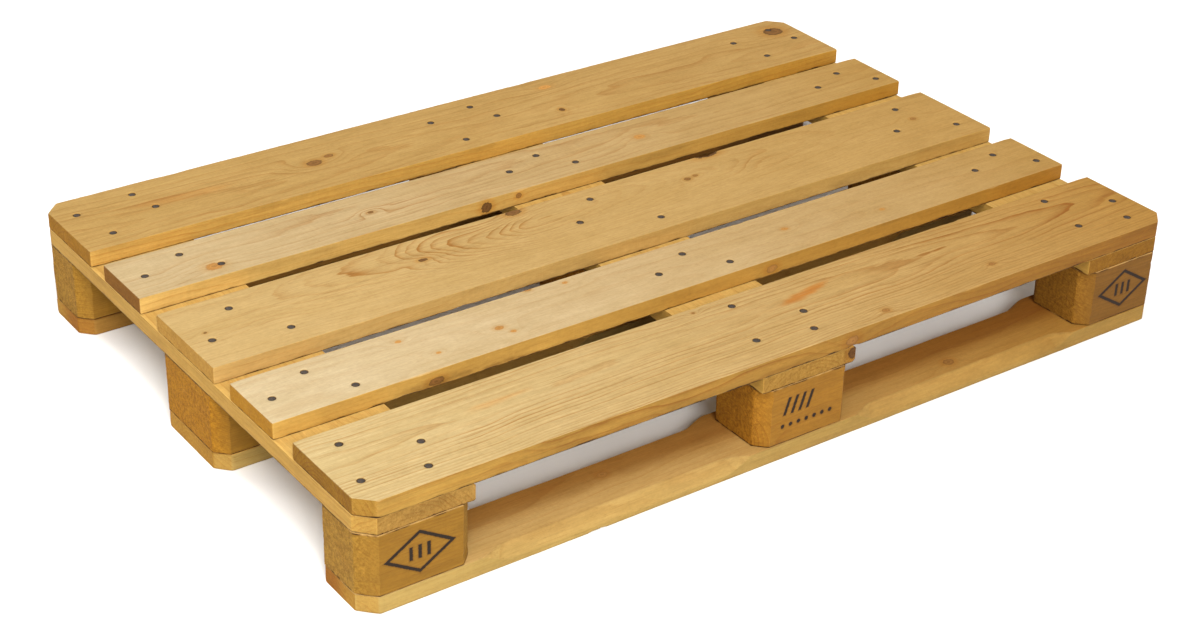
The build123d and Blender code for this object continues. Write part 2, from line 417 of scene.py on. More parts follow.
# ------------------------------------------------------------ shader plumbing
class Nodes:
    def __init__(self, name):
        self.mat = bpy.data.materials.new(name)
        self.mat.use_nodes = True
        self.tree = self.mat.node_tree
        self.tree.nodes.clear()
        self.out = self.tree.nodes.new("ShaderNodeOutputMaterial")
        self.shader = self.tree.nodes.new("ShaderNodeBsdfPrincipled")
        self.tree.links.new(self.shader.outputs[0], self.out.inputs[0])

    def put(self, socket, value):
        if hasattr(value, "is_output") or isinstance(value, bpy.types.NodeSocket):
            self.tree.links.new(value, socket)
        else:
            socket.default_value = value

    def math(self, op, a, b=None, c=None, clamp=False):
        n = self.tree.nodes.new("ShaderNodeMath")
        n.operation, n.use_clamp = op, clamp
        for s, v in zip(n.inputs, (a, b, c)):
            if v is not None:
                self.put(s, v)
        return n.outputs[0]

    def vec(self, op, a, b=None, scale=None):
        n = self.tree.nodes.new("ShaderNodeVectorMath")
        n.operation = op
        self.put(n.inputs[0], a)
        if b is not None:
            self.put(n.inputs[1], b)
        if scale is not None:
            self.put(n.inputs["Scale"], scale)
        return n.outputs["Value"] if op in ("LENGTH", "DOT_PRODUCT", "DISTANCE") else n.outputs[0]

    def attr(self, name, kind="Fac"):
        n = self.tree.nodes.new("ShaderNodeAttribute")
        n.attribute_type = "GEOMETRY"
        n.attribute_name = name
        return n.outputs[kind]

    def noise(self, vector, detail=2.0, rough=0.5, lac=2.0, distortion=0.0):
        n = self.tree.nodes.new("ShaderNodeTexNoise")
        n.noise_dimensions = "3D"
        self.put(n.inputs["Vector"], vector)
        n.inputs["Scale"].default_value = 1.0
        n.inputs["Detail"].default_value = detail
        n.inputs["Roughness"].default_value = rough
        n.inputs["Lacunarity"].default_value = lac
        n.inputs["Distortion"].default_value = distortion
        return n.outputs["Fac"]

    def white(self, value):
        n = self.tree.nodes.new("ShaderNodeTexWhiteNoise")
        n.noise_dimensions = "1D"
        self.put(n.inputs["W"], value)
        return n.outputs["Value"]

    def span(self, value, a, b, c=0.0, d=1.0, kind="SMOOTHSTEP"):
        n = self.tree.nodes.new("ShaderNodeMapRange")
        n.interpolation_type = kind
        n.clamp = True
        for s, v in zip(n.inputs, (value, a, b, c, d)):
            self.put(s, v)
        return n.outputs[0]

    def ramp(self, value, stops, kind="LINEAR"):
        n = self.tree.nodes.new("ShaderNodeValToRGB")
        n.color_ramp.interpolation = kind
        e = n.color_ramp.elements
        while len(e) < len(stops):
            e.new(0.5)
        for el, (p, c) in zip(e, stops):
            el.position = p
            el.color = (c, c, c, 1) if isinstance(c, (int, float)) else (*c, 1)
        self.put(n.inputs[0], value)
        return n.outputs[0]

    def mix(self, fac, a, b):
        n = self.tree.nodes.new("ShaderNodeMix")
        n.data_type = "VECTOR"
        n.factor_mode = "UNIFORM"
        n.clamp_factor = True
        self.put(n.inputs[0], fac)
        self.put(n.inputs[4], a)
        self.put(n.inputs[5], b)
        return n.outputs[1]

    def scaled(self, vector, sx, sy, sz):
        return self.vec("MULTIPLY", vector, (sx, sy, sz))


def wood(name, late=(0.70, 0.475, 0.25), mark=None):
    """Solid sawn softwood. Its ring field, grain directions, knots, colour (painted light and shade in it) and dirt
    with painted shade along the edges and in the nail bores come from the mesh's own fields; the fine grain is worked
    out here from those."""
    m = Nodes(name)
    gp = m.attr("gp", "Vector")          # mm, x along the grain, shifted for each piece
    tone_and_painted_light = m.attr("tone_and_painted_light", "Vector")
    ring, gs = m.attr("ring"), m.attr("gs")
    kd, kc = m.attr("kd"), m.attr("kc")
    endg, orange, dirt_and_shade = m.attr("endg"), m.attr("orange"), m.attr("dirt_and_shade")
    rough_saw = m.attr("saw")

    wob = m.noise(m.scaled(gp, 1 / 110, 1 / 26, 1 / 26), 2.0, 0.55)
    wob2 = m.noise(m.scaled(gp, 1 / 24, 1 / 5.0, 1 / 5.0), 1.0, 0.5)
    phase = m.math("ADD", ring, m.math("MULTIPLY_ADD", wob, 1.5, m.math("MULTIPLY", wob2, 0.22)))
    t = m.math("FRACT", phase)
    year = m.math("FLOOR", phase)
    weight = m.span(m.white(year), 0.0, 1.0, 0.30, 1.0, "LINEAR")
    late_t = m.ramp(t, [(0.0, 0.10), (0.10, 0.0), (0.45, 0.08), (0.72, 0.38), (0.90, 0.95), (0.955, 1.0), (1.0, 0.10)])
    patch = m.noise(m.scaled(gp, 1 / 160, 1 / 30, 1 / 30), 2.0, 0.5)
    lw = m.math("MULTIPLY", m.math("MULTIPLY", late_t, weight), m.span(patch, 0.30, 0.70, 0.45, 1.1, "LINEAR"))
    lw = m.math("MULTIPLY", lw, gs)

    fibre = m.noise(m.scaled(gp, 1 / 60, 1 / 0.9, 1 / 0.9), 3.0, 0.6)
    streak = m.noise(m.scaled(gp, 1 / 190, 1 / 4.5, 1 / 4.5), 3.0, 0.55)
    mottle = m.noise(m.scaled(gp, 1 / 130, 1 / 45, 1 / 45), 3.0, 0.55)
    fleck = m.noise(m.scaled(gp, 1 / 9, 1 / 0.75, 1 / 0.75), 1.0, 0.5)

    # the sawn face: faint bands across the board, in patches
    sawband = m.noise(m.scaled(gp, 1 / 1.7, 1 / 55, 1 / 55), 2.0, 0.5)
    sawpatch = m.noise(m.scaled(gp, 1 / 75, 1 / 60, 1 / 60), 1.0, 0.5)
    saw = m.math("MULTIPLY", m.math("SUBTRACT", sawband, 0.5),
                 m.math("MULTIPLY", rough_saw, m.span(sawpatch, 0.42, 0.62)))

    # the base colour starts from the per-vertex tone, which holds the face colours with painted light and shade
    col = m.vec("MULTIPLY", tone_and_painted_light, m.mix(lw, (1, 1, 1), late))
    col = m.vec("MULTIPLY", col, m.mix(mottle, (1.10, 1.13, 1.22), (0.90, 0.865, 0.76)))
    lined = m.span(gs, 0.25, 0.95, 0.40, 1.0, "LINEAR")
    col = m.mix(lined, col, m.vec("MULTIPLY", col, m.mix(streak, (1.19, 1.21, 1.26), (0.81, 0.78, 0.71))))
    col = m.mix(lined, col, m.vec("SCALE", col, scale=m.span(fibre, 0.2, 0.8, 0.83, 1.14, "LINEAR")))
    blotch = m.noise(m.scaled(gp, 1 / 34, 1 / 11, 1 / 11), 3.0, 0.6)
    col = m.vec("MULTIPLY", col, m.mix(blotch, (1.13, 1.15, 1.20), (0.87, 0.845, 0.78)))
    grit = m.noise(m.scaled(gp, 1 / 5.5, 1 / 2.4, 1 / 2.4), 2.0, 0.6)
    col = m.vec("SCALE", col, scale=m.span(grit, 0.25, 0.75, 0.92, 1.07, "LINEAR"))
    hair = m.noise(m.scaled(gp, 1 / 105, 1 / 1.35, 1 / 1.35), 2.0, 0.5)
    col = m.mix(m.math("MULTIPLY", m.span(hair, 0.60, 0.70), m.span(gs, 0.2, 0.9, 0.15, 0.60, "LINEAR")), col,
                m.vec("MULTIPLY", col, (0.70, 0.55, 0.38)))
    col = m.vec("SCALE", col, scale=m.math("MULTIPLY_ADD", saw, 0.13, 1.0))
    col = m.mix(m.math("MULTIPLY", m.span(fleck, 0.66, 0.76), 0.42), col, m.vec("MULTIPLY", col, (0.62, 0.50, 0.38)))

    # end grain: darker latewood arcs and a coarse speckle of torn fibre
    pit = m.noise(m.scaled(gp, 1 / 3.0, 1 / 1.9, 1 / 1.9), 3.0, 0.65)
    pit2 = m.noise(m.scaled(gp, 1 / 5.0, 1 / 4.4, 1 / 4.4), 2.0, 0.55)
    pits = m.span(m.math("MULTIPLY_ADD", pit, 0.5, m.math("MULTIPLY", pit2, 0.5)), 0.36, 0.64)
    pitted = m.vec("MULTIPLY", col, m.mix(pits, (0.66, 0.58, 0.46), (1.24, 1.27, 1.33)))
    col = m.mix(m.math("MULTIPLY", endg, m.attr("torn")), col, pitted)

    # resin-rich streaks
    flame = m.noise(m.scaled(gp, 1 / 40, 1 / 2.2, 1 / 2.2), 2.0, 0.6)
    o2 = m.math("MULTIPLY", orange, m.span(flame, 0.30, 0.60, 0.62, 1.0))
    col = m.mix(o2, col, m.vec("MULTIPLY", col, (1.02, 0.60, 0.24)))

    # knots: kd is the distance from the knot's middle over its radius
    kn = m.math("ADD", kd, m.math("MULTIPLY", m.math("SUBTRACT", m.noise(m.scaled(gp, 1 / 5, 1 / 3.5, 1 / 3.5), 3.0, 0.6), 0.5), 0.75))
    inside = m.span(kn, 1.08, 0.86)
    halo = m.math("MULTIPLY", m.span(kn, 2.3, 1.0), m.span(kc, 0.0, 1.0, 0.28, 0.75, "LINEAR"))
    col = m.mix(halo, col, m.vec("MULTIPLY", col, (0.90, 0.70, 0.42)))
    wave = m.math("SINE", m.math("MULTIPLY", kn, 17.0))
    heart = m.mix(kc, (0.44, 0.205, 0.045), (0.072, 0.027, 0.007))
    heart = m.vec("SCALE", heart, scale=m.math("MULTIPLY_ADD", wave, 0.12, 0.98))
    heart = m.vec("SCALE", heart, scale=m.span(kn, 0.0, 0.5, 0.72, 1.0))
    rim = m.math("MULTIPLY", m.math("MULTIPLY", m.span(kn, 0.70, 0.93), m.span(kn, 1.12, 0.97)), kc)
    heart = m.mix(rim, heart, (0.020, 0.008, 0.003))
    col = m.mix(m.math("MULTIPLY", inside, 0.94), col, heart)

    # dirt and stains on the faces, and painted shade along the lower and upper edges and in the nail bores
    dirt_and_shade_noise = m.noise(m.scaled(gp, 1 / 14, 1 / 7, 1 / 7), 3.0, 0.6)
    dk = m.math("MULTIPLY", dirt_and_shade, m.span(dirt_and_shade_noise, 0.25, 0.62, 0.55, 1.0), clamp=True)
    col = m.mix(dk, col, m.vec("MULTIPLY", col, (0.30, 0.235, 0.19)))
    # painted shade: the strongest values, from the edges and the nail bores, darken almost to black
    col = m.mix(m.span(dirt_and_shade, 0.62, 0.98), col, m.vec("MULTIPLY", col, (0.24, 0.19, 0.15)))

    height = m.math("MULTIPLY_ADD", fibre, 0.28, m.math("MULTIPLY", lw, 0.40))
    height = m.math("ADD", height, m.math("MULTIPLY", saw, 0.45))
    height = m.math("ADD", height, m.math("MULTIPLY", m.math("MULTIPLY", pits, m.math("MULTIPLY", endg, m.attr("torn"))), 1.3))
    height = m.math("ADD", height, m.math("MULTIPLY", m.math("MULTIPLY", wave, inside), 0.10))

    if mark is not None:
        burnt = burnt_mark(m, mark)
        singe = m.math("MULTIPLY", burnt[1], 0.38)
        col = m.mix(singe, col, m.vec("MULTIPLY", col, (0.50, 0.36, 0.25)))
        char = m.mix(m.noise(m.scaled(gp, 1 / 3, 1 / 1.2, 1 / 1.2), 2.0, 0.6), (0.006, 0.004, 0.003), (0.026, 0.016, 0.009))
        col = m.mix(burnt[0], col, char)

    m.put(m.shader.inputs["Base Color"], col)
    rough = m.math("MULTIPLY_ADD", m.noise(m.scaled(gp, 1 / 30, 1 / 3, 1 / 3), 2.0, 0.5), 0.14, 0.66)
    rough = m.math("MULTIPLY_ADD", lw, -0.06, rough)
    rough = m.math("MULTIPLY_ADD", endg, 0.16, rough)
    m.put(m.shader.inputs["Roughness"], rough)
    m.shader.inputs["Specular IOR Level"].default_value = 0.16
    bump = m.tree.nodes.new("ShaderNodeBump")
    bump.inputs["Strength"].default_value = 0.75
    bump.inputs["Distance"].default_value = 0.0003
    m.put(bump.inputs["Height"], height)
    m.put(m.shader.inputs["Normal"], bump.outputs[0])
    return m.mat


# Figures of bars, dots and a lozenge, in mm about their middle: a box is (x, z, half width,
# half height, slant), a dot (x, z, radius), a lozenge (half width, half height, half line).
FIGURES = {
    "lozenge": [("lozenge", 41.0, 25.0, 1.9)] + [("box", x, 0.0, 2.1, 8.6, 0.0) for x in (-11.0, 0.0, 11.0)],
    "bars": [("box", -31.0 + 11.5 * k, 9.5, 2.1, 11.5, 0.32) for k in range(4)]
            + [("dot", -36.0 + 12.0 * k, -16.5, 2.7) for k in range(7)],
}


def figure_distance(kind, x, z):
    """Distance in mm from the burnt lines of a figure, negative inside, for points (x, z)."""
    best = np.full(len(x), 99.0)
    for shape in FIGURES[kind]:
        if shape[0] == "lozenge":
            _, hx, hz, half = shape
            d = np.abs(np.abs(x) * hz / hx + np.abs(z) - hz) * hx / math.hypot(hx, hz) - half
        elif shape[0] == "box":
            _, bx, bz, hx, hz, slant = shape
            d = np.maximum(np.abs(x - bx - slant * (z - bz)) - hx, np.abs(z - bz) - hz)
        else:
            _, bx, bz, r = shape
            d = np.hypot(x - bx, z - bz) - r
        best = np.minimum(best, d)
    return best


def burnt_mark(m, mark):
    """A plain figure burnt into the -Y face of a block: (char, singe) masks.
    mark is (kind, x, z) in metres. The figures have no meaning."""
    kind, cx, cz = mark
    pos = m.tree.nodes.new("ShaderNodeNewGeometry").outputs["Position"]
    edge = m.noise(m.vec("SCALE", pos, scale=420.0), 2.0, 0.6)
    p = m.tree.nodes.new("ShaderNodeSeparateXYZ")
    m.put(p.inputs[0], pos)
    x = m.math("MULTIPLY", m.math("SUBTRACT", p.outputs[0], cx), 1000.0)
    z = m.math("MULTIPLY", m.math("SUBTRACT", p.outputs[2], cz), 1000.0)
    dist = None
    for shape in FIGURES[kind]:
        if shape[0] == "lozenge":
            _, hx, hz, half = shape
            d = m.math("ADD", m.math("MULTIPLY", m.math("ABSOLUTE", x), hz / hx), m.math("ABSOLUTE", z))
            d = m.math("ABSOLUTE", m.math("SUBTRACT", d, hz))
            d = m.math("SUBTRACT", m.math("MULTIPLY", d, hx / math.hypot(hx, hz)), half)
        elif shape[0] == "box":
            _, bx, bz, hx, hz, slant = shape
            zz = m.math("SUBTRACT", z, bz)
            sx = m.math("SUBTRACT", m.math("ABSOLUTE", m.math("SUBTRACT", m.math("SUBTRACT", x, bx), m.math("MULTIPLY", zz, slant))), hx)
            d = m.math("MAXIMUM", sx, m.math("SUBTRACT", m.math("ABSOLUTE", zz), hz))
        else:
            _, bx, bz, r = shape
            xx, zz = m.math("SUBTRACT", x, bx), m.math("SUBTRACT", z, bz)
            d = m.math("SUBTRACT", m.math("SQRT", m.math("ADD", m.math("MULTIPLY", xx, xx), m.math("MULTIPLY", zz, zz))), r)
        dist = d if dist is None else m.math("MINIMUM", dist, d)
    dist = m.math("ADD", dist, m.math("MULTIPLY", m.math("SUBTRACT", edge, 0.5), 1.5))
    front = m.span(p.outputs[1], -0.3950, -0.3968)
    return (m.math("MULTIPLY", m.span(dist, 0.50, -0.40), front),
            m.math("MULTIPLY", m.span(dist, 2.6, 0.0), front))


def steel(name):
    """Dark, oxidised plain steel with rust blooming from the rim."""
    m = Nodes(name)
    pos = m.vec("SCALE", m.tree.nodes.new("ShaderNodeTexCoord").outputs["Object"], scale=1000.0)
    a = m.noise(m.vec("SCALE", pos, scale=0.55), 4.0, 0.6)
    b = m.noise(m.vec("SCALE", pos, scale=1.7), 3.0, 0.6)
    rust = m.span(a, 0.50, 0.68)
    col = m.mix(b, (0.013, 0.011, 0.009), (0.060, 0.048, 0.037))
    col = m.mix(m.math("MULTIPLY", rust, 0.75), col, (0.115, 0.050, 0.022))
    m.put(m.shader.inputs["Base Color"], col)
    m.put(m.shader.inputs["Metallic"], m.span(rust, 0.0, 1.0, 0.25, 0.05, "LINEAR"))
    m.put(m.shader.inputs["Roughness"], m.span(m.math("ADD", a, m.math("MULTIPLY", b, 0.5)), 0.5, 1.0, 0.46, 0.75))
    bump = m.tree.nodes.new("ShaderNodeBump")
    bump.inputs["Strength"].default_value = 0.6
    bump.inputs["Distance"].default_value = 0.0002
    m.put(bump.inputs["Height"], b)
    m.put(m.shader.inputs["Normal"], bump.outputs[0])
    return m.mat


timber_mat = wood("sawn_timber")
steel_mat = steel("nail_steel")

# -------------------------------------------------------- nails, as in the CAD
LONG = {
    "front_outer": [(-483, -326.5), (-501, -371), (-574.5, -357), (45, -330), (29, -368.5), (-46, -354),
                    (576, -324), (557, -367.5), (485.5, -351)],
    "centre": [(-521, 41.5), (-481, -36.5), (-571, -14.5), (1, 47), (49, -42.5), (-47.5, 0),
               (528, 46), (568, -36.5), (481.5, -9)],
    "back_outer": [(-571, 357), (-488, 373), (-477, 327), (24.5, 372), (-49.5, 356), (41, 328),
                   (483, 357.5), (574.5, 325.5), (560, 370)],
}
SHORT = {
    "front_outer": [(-559, -284), (-20, -275), (499, -276.5)],
    "front_inner": [(-517.5, -133.5), (-483, -188), (-574.5, -164), (10.5, -137.5), (48, -185.5),
                    (-45.5, -164.5), (541, -137), (578.5, -182), (486.5, -159.5)],
    "back_inner": [(-510, 193.5), (-569, 165.5), (-477.5, 145.5), (15, 193), (48.5, 148), (-42.5, 170),
                   (541, 188.5), (577.5, 143.5), (485, 164)],
    "back_outer": [(-553, 289), (-36.5, 285.5), (496.5, 294)],
}
COLUMN = {"left": -530.0, "centre": 0.0, "right": 530.0}
ROW = {"front": -350.0, "mid": 0.0, "back": 350.0}
OFFSETS = {
    "front": [(-45, -22), (2, 24), (44, -13)],
    "mid": [(-40, 34), (4, -28), (46, 18)],
    "back": [(-45, 24), (2, -24), (42, 4)],
}
BASE = {r: [(cx + dx, ROW[r] + dy) for cx in COLUMN.values() for dx, dy in OFFSETS[r]] for r in ROW}


def nail_mesh(nails, z_head, length, up, seed):
    """Ring-shank nails, heads slightly domed, dented and tilted. up is 1 or -1."""
    rng = np.random.default_rng(seed)
    n = 28
    ang = np.arange(n) * 2 * np.pi / n
    P, Q, U = [], [], []
    count = 0
    for x, y in nails:
        tilt = rng.uniform(-0.045, 0.045, 2)
        spin = rng.uniform(0, 6.28)
        prof = [(0.0, 0.0), (1.0, -0.01), (2.1, -0.05), (3.0, -0.12), (3.55, -0.22), (3.86, -0.40),
                (3.96, -0.62), (3.90, -0.95), (3.66, -1.15), (2.9, -1.22), (2.25, -1.45), (2.0, -1.9)]
        z = -3.2
        while z > -(length - 8.0):
            prof += [(1.98, z), (1.98, z - 0.55), (1.72, z - 0.95), (1.72, z - 1.45)]
            z -= 2.0
        prof += [(1.98, z), (1.98, -(length - 6.0)), (0.55, -(length - 0.9)), (0.0, -length)]
        rings = []
        for k, (r, d) in enumerate(prof):
            dent = rng.uniform(-1, 1) if k else 0
            if r == 0.0:
                pts = np.array([[0, 0, d]])
            else:
                wob = 1.0
                if 3 <= k <= 8:
                    wob = 1 + 0.018 * np.sin(2 * ang + spin) + 0.012 * np.sin(5 * ang + 2 * spin)
                pts = np.stack([r * wob * np.cos(ang), r * wob * np.sin(ang), np.full(n, d)], 1)
                if k < 6:
                    pts[:, 2] += -0.05 * np.cos(ang - spin) * r / 4 - 0.03 * np.sin(3 * ang + spin) * r / 4
            flex = np.exp(pts[:, 2] / 3.0)        # only the head is tilted
            pts[:, 2] += flex * (tilt[0] * pts[:, 0] + tilt[1] * pts[:, 1])
            pts[:, 2] *= up
            pts += (x, y, z_head)
            rings.append((count, len(pts), d))
            P.append(pts)
            count += len(pts)
        total = float(sum(1 for _ in prof))
        for k in range(len(rings) - 1):
            (a0, an, _), (b0, bn, _) = rings[k], rings[k + 1]
            va, vb = k / total, (k + 1) / total
            for i in range(0, n, 2) if (an == 1 or bn == 1) else range(n):
                if an == 1:
                    f = [a0, b0 + i, b0 + (i + 1) % n, b0 + (i + 2) % n]
                    t = [(0.5, va), (i / n, vb), ((i + 1) / n, vb), ((i + 2) / n, vb)]
                elif bn == 1:
                    f = [b0, a0 + (i + 2) % n, a0 + (i + 1) % n, a0 + i]
                    t = [(0.5, vb), ((i + 2) / n, va), ((i + 1) / n, va), (i / n, va)]
                else:
                    f = [a0 + i, b0 + i, b0 + (i + 1) % n, a0 + (i + 1) % n]
                    t = [(i / n, va), (i / n, vb), ((i + 1) / n, vb), ((i + 1) / n, va)]
                Q.append(f)
                U.append(t)
    p, q, uv = np.concatenate(P), np.array(Q), np.array(U)
    if volume_of(p, q) < 0:
        q, uv = q[:, ::-1], uv[:, ::-1]
    return p, q, uv


# ------------------------------------------------------------ fields of a piece
def fields(p, n, piece):
    """The named per-vertex fields that the timber material reads, and a relief in mm."""
    c = np.array(piece["centre"])
    loc = p - c
    if piece["grain"] == "x":
        g = loc[:, [0, 1, 2]]
        ng = n[:, [0, 1, 2]]
    else:
        g = loc[:, [1, 0, 2]]
        ng = n[:, [1, 0, 2]]
    seed = piece["seed"]
    x, y, z = g[:, 0], g[:, 1], g[:, 2]
    half_t = piece["half"][2]
    # growth rings about a wandering, tapering pith
    pith = piece.get("pith", (10.0, -60.0))
    sway = piece.get("sway", 6.0)
    y0 = pith[0] + sway * noise1(x, 330.0, seed + 1) + sway * 0.35 * noise1(x, 90.0, seed + 2)
    h = pith[1] * np.ones_like(x)
    for a, b, rise in piece.get("rises", [(-600.0, 600.0, 14.0)]):
        h = h - rise * np.clip((x - a) / (b - a), 0, 1)
    h = h + 1.6 * noise1(x, 120.0, seed + 3)
    r = np.sqrt((y - y0) ** 2 + (z - h) ** 2)
    ring = r / piece.get("ring", 4.2) + 0.35 * noise(g, (160.0, 28.0, 28.0), seed + 4, 2)
    # knots
    kd = np.full(len(p), 9.0)
    kc = np.zeros(len(p))
    relief = np.zeros(len(p))
    for knot in piece.get("knots", []):
        kx, ky, rx, ry, darkness = knot[:5]
        lean = knot[5] if len(knot) > 5 else 0.25
        swirl = knot[6] if len(knot) > 6 else 1.6
        deep, at = (knot[7], knot[8]) if len(knot) > 8 else (0.0, half_t)
        dx = (x - kx - lean * (z - half_t)) / rx
        dy = (y - ky) / ry
        d = np.sqrt(dx ** 2 + dy ** 2 + ((z - at) / deep) ** 2) if deep else np.sqrt(dx ** 2 + dy ** 2)
        near = d < kd
        kd = np.where(near, d, kd)
        kc = np.where(near, darkness, kc)
        ring = ring + swirl * np.exp(-0.5 * (dx / 2.9) ** 2 - 0.5 * (dy / 2.0) ** 2)
        relief = relief + 0.16 * np.exp(-0.5 * (d / 0.8) ** 2) - 0.10 * np.exp(-((d - 1.0) / 0.16) ** 2)
    for warp in piece.get("warps", []):
        wx, wy, lx, ly, amount = warp
        ring = ring + amount * np.exp(-0.5 * ((x - wx) / lx) ** 2 - 0.5 * ((y - wy) / ly) ** 2)
    gs = piece.get("gs", 0.55) * np.ones(len(p))
    for gx, gy, lx, ly, amount in piece.get("strong", []):
        gs = gs + amount * np.exp(-0.5 * ((x - gx) / lx) ** 2 - 0.5 * ((y - gy) / ly) ** 2)
    endg = smooth(0.55, 0.85, np.abs(ng[:, 0]))
    gs = gs * (1 + 0.35 * endg)
    # colour: top, ends and sides differ, and each drifts along the piece; these differences hold painted light and
    # shade, faces lighter or darker as the light falls and a fall-off from left to right
    tones_and_painted_light = piece["tones_and_painted_light"]
    tx = np.clip((loc[:, 0] + piece["half"][0]) / (2 * piece["half"][0]), 0, 1) if piece["half"][0] > 300 else \
        np.full(len(p), 0.5)

    def drift_and_falloff(key):
        a, b = tones_and_painted_light[key] if key in tones_and_painted_light else tones_and_painted_light["all"]
        return np.array(a)[None, :] * (1 - tx[:, None]) + np.array(b)[None, :] * tx[:, None]

    wt = smooth(0.45, 0.85, n[:, 2])[:, None]
    wb = smooth(0.45, 0.85, -n[:, 2])[:, None]
    wf = smooth(0.45, 0.85, -n[:, 1])[:, None]
    wk = smooth(0.45, 0.85, n[:, 1])[:, None]
    wl = smooth(0.45, 0.85, -n[:, 0])[:, None]
    wr = smooth(0.45, 0.85, n[:, 0])[:, None]
    rest = np.clip(1 - wt - wb - wf - wk - wl - wr, 0, 1)
    base = drift_and_falloff("all")
    tone_and_painted_light = (wt * drift_and_falloff("top") + wb * drift_and_falloff("bottom") + wf * drift_and_falloff("front") + wk * drift_and_falloff("back")
            + wl * drift_and_falloff("left") + wr * drift_and_falloff("right") + rest * base) / (wt + wb + wf + wk + wl + wr + rest)
    # painted shade: the part of a board that lies under the deck is darker and more orange, fading out towards the
    # open edge
    if "sheltered" in piece:
        inward, shade_tint = piece["sheltered"]
        under_deck_shade = smooth(-22.0, 18.0, inward * loc[:, 1] + 5.0 * noise1(x, 210.0, seed + 17))[:, None]
        tone_and_painted_light = tone_and_painted_light * (1 - under_deck_shade + under_deck_shade * np.array(shade_tint)[None, :])
    orange = np.zeros(len(p))
    for ox, oy, lx, ly, slant, amount in piece.get("flames", []):
        dy = y - oy - slant * (x - ox)
        orange = np.maximum(orange, amount * smooth(1.25, 0.75, np.sqrt(((x - ox) / lx) ** 2 + (dy / ly) ** 2)))
    dirt_and_shade = piece.get("dirt", 0.05) * np.ones(len(p))
    for sx, sy, sz, rx_, ry_, rz_, amount in piece.get("stains", []):
        d = np.sqrt(((x - sx) / rx_) ** 2 + ((y - sy) / ry_) ** 2 + ((z - sz) / rz_) ** 2)
        dirt_and_shade = np.maximum(dirt_and_shade, amount * smooth(1.3, 0.5, d))
    # round each nail the dished bore is darkened, most on its steep walls: painted shade in the recess, together with
    # a stain round the nail
    for nx, ny, side in piece.get("heads", []):
        d = np.hypot(p[:, 0] - nx, p[:, 1] - ny)
        facing = n[:, 2] * side > -0.6
        dirt_and_shade = np.maximum(dirt_and_shade, np.where(facing & (loc[:, 2] * side > 0), 0.26 * smooth(6.6, 4.2, d) + 0.62 * smooth(4.7, 4.2, d), 0))
    # painted shade along the lower and the upper edges of upright faces, where parts meet and at the arrises, and
    # darker patches on the sides
    upright = np.abs(n[:, 2]) < 0.9
    ragged = 1.5 * noise(g, (15.0, 6.0, 6.0), seed + 21, 2)
    low, high = piece.get("edge_shade", (0.95, 0.10))
    dirt_and_shade = np.maximum(dirt_and_shade, np.where(upright, low * smooth(2.3, 0.5, half_t + loc[:, 2] + ragged), 0))
    dirt_and_shade = np.maximum(dirt_and_shade, np.where(upright, high * smooth(2.2, 0.3, half_t - loc[:, 2] + ragged), 0))
    dirt_and_shade = dirt_and_shade + np.where(upright, piece.get("side_patch", 0.22) * smooth(0.05, 0.75, noise(g, (75.0, 30.0, 13.0), seed + 31, 2)), 0)
    shift = np.array([seed * 137.0 % 4000, seed * 71.0 % 900, seed * 53.0 % 700])
    saw = piece.get("saw", 1.0) * (1 - endg)
    return dict(gp=g + shift, ring=ring, kd=kd, kc=kc, gs=gs, tone_and_painted_light=tone_and_painted_light, endg=endg,
                orange=orange, dirt_and_shade=np.clip(dirt_and_shade, 0, 1), saw=saw,
                torn=piece.get("torn", 0.32) * np.ones(len(p))), relief


def ease(p, q, piece, rough=1.0):
    """Pushes the skin in a little, as dried, sawn timber is never quite flat."""
    n = normals_of(p, q)
    seed = piece["seed"]
    g = p - np.array(piece["centre"])
    g = g if piece["grain"] == "x" else g[:, [1, 0, 2]]
    gn = n if piece["grain"] == "x" else n[:, [1, 0, 2]]
    slow = 0.09 * (1 + noise(g, (240.0, 60.0, 60.0), seed + 11, 2))
    quick = 0.05 * (1 + noise(g, (26.0, 5.5, 5.5), seed + 12, 2))
    torn = smooth(0.6, 0.9, np.abs(gn[:, 0])) * (0.20 + 0.30 * np.abs(noise(g, (6.0, 4.5, 4.5), seed + 13, 2))
                                                + 0.22 * (1 + noise(g, (30.0, 20.0, 12.0), seed + 14)))
    return n, (slow + quick) * rough + torn * rough


def edge_widths(us, lo, hi, seed, base=1.15, vary=0.45, chips=(), worn=1.3):
    """Width of an eased long edge at each station, with its chips (place, length, depth)."""
    w = base + vary * noise1(us, 46.0, seed, 2) + 0.22 * noise1(us, 7.0, seed + 5)
    end = np.minimum(us - lo, hi - us)
    w = w + worn * np.exp(-(end / 7.0) ** 2)
    for place, length, depth in chips:
        d = np.abs(us - place) / (length / 2)
        shape = np.clip(1 - d, 0, 1) ** 0.6
        w = w + depth * shape * (0.8 + 0.35 * noise1(us, 3.1, seed + 9))
    return np.clip(w, 0.5, None)


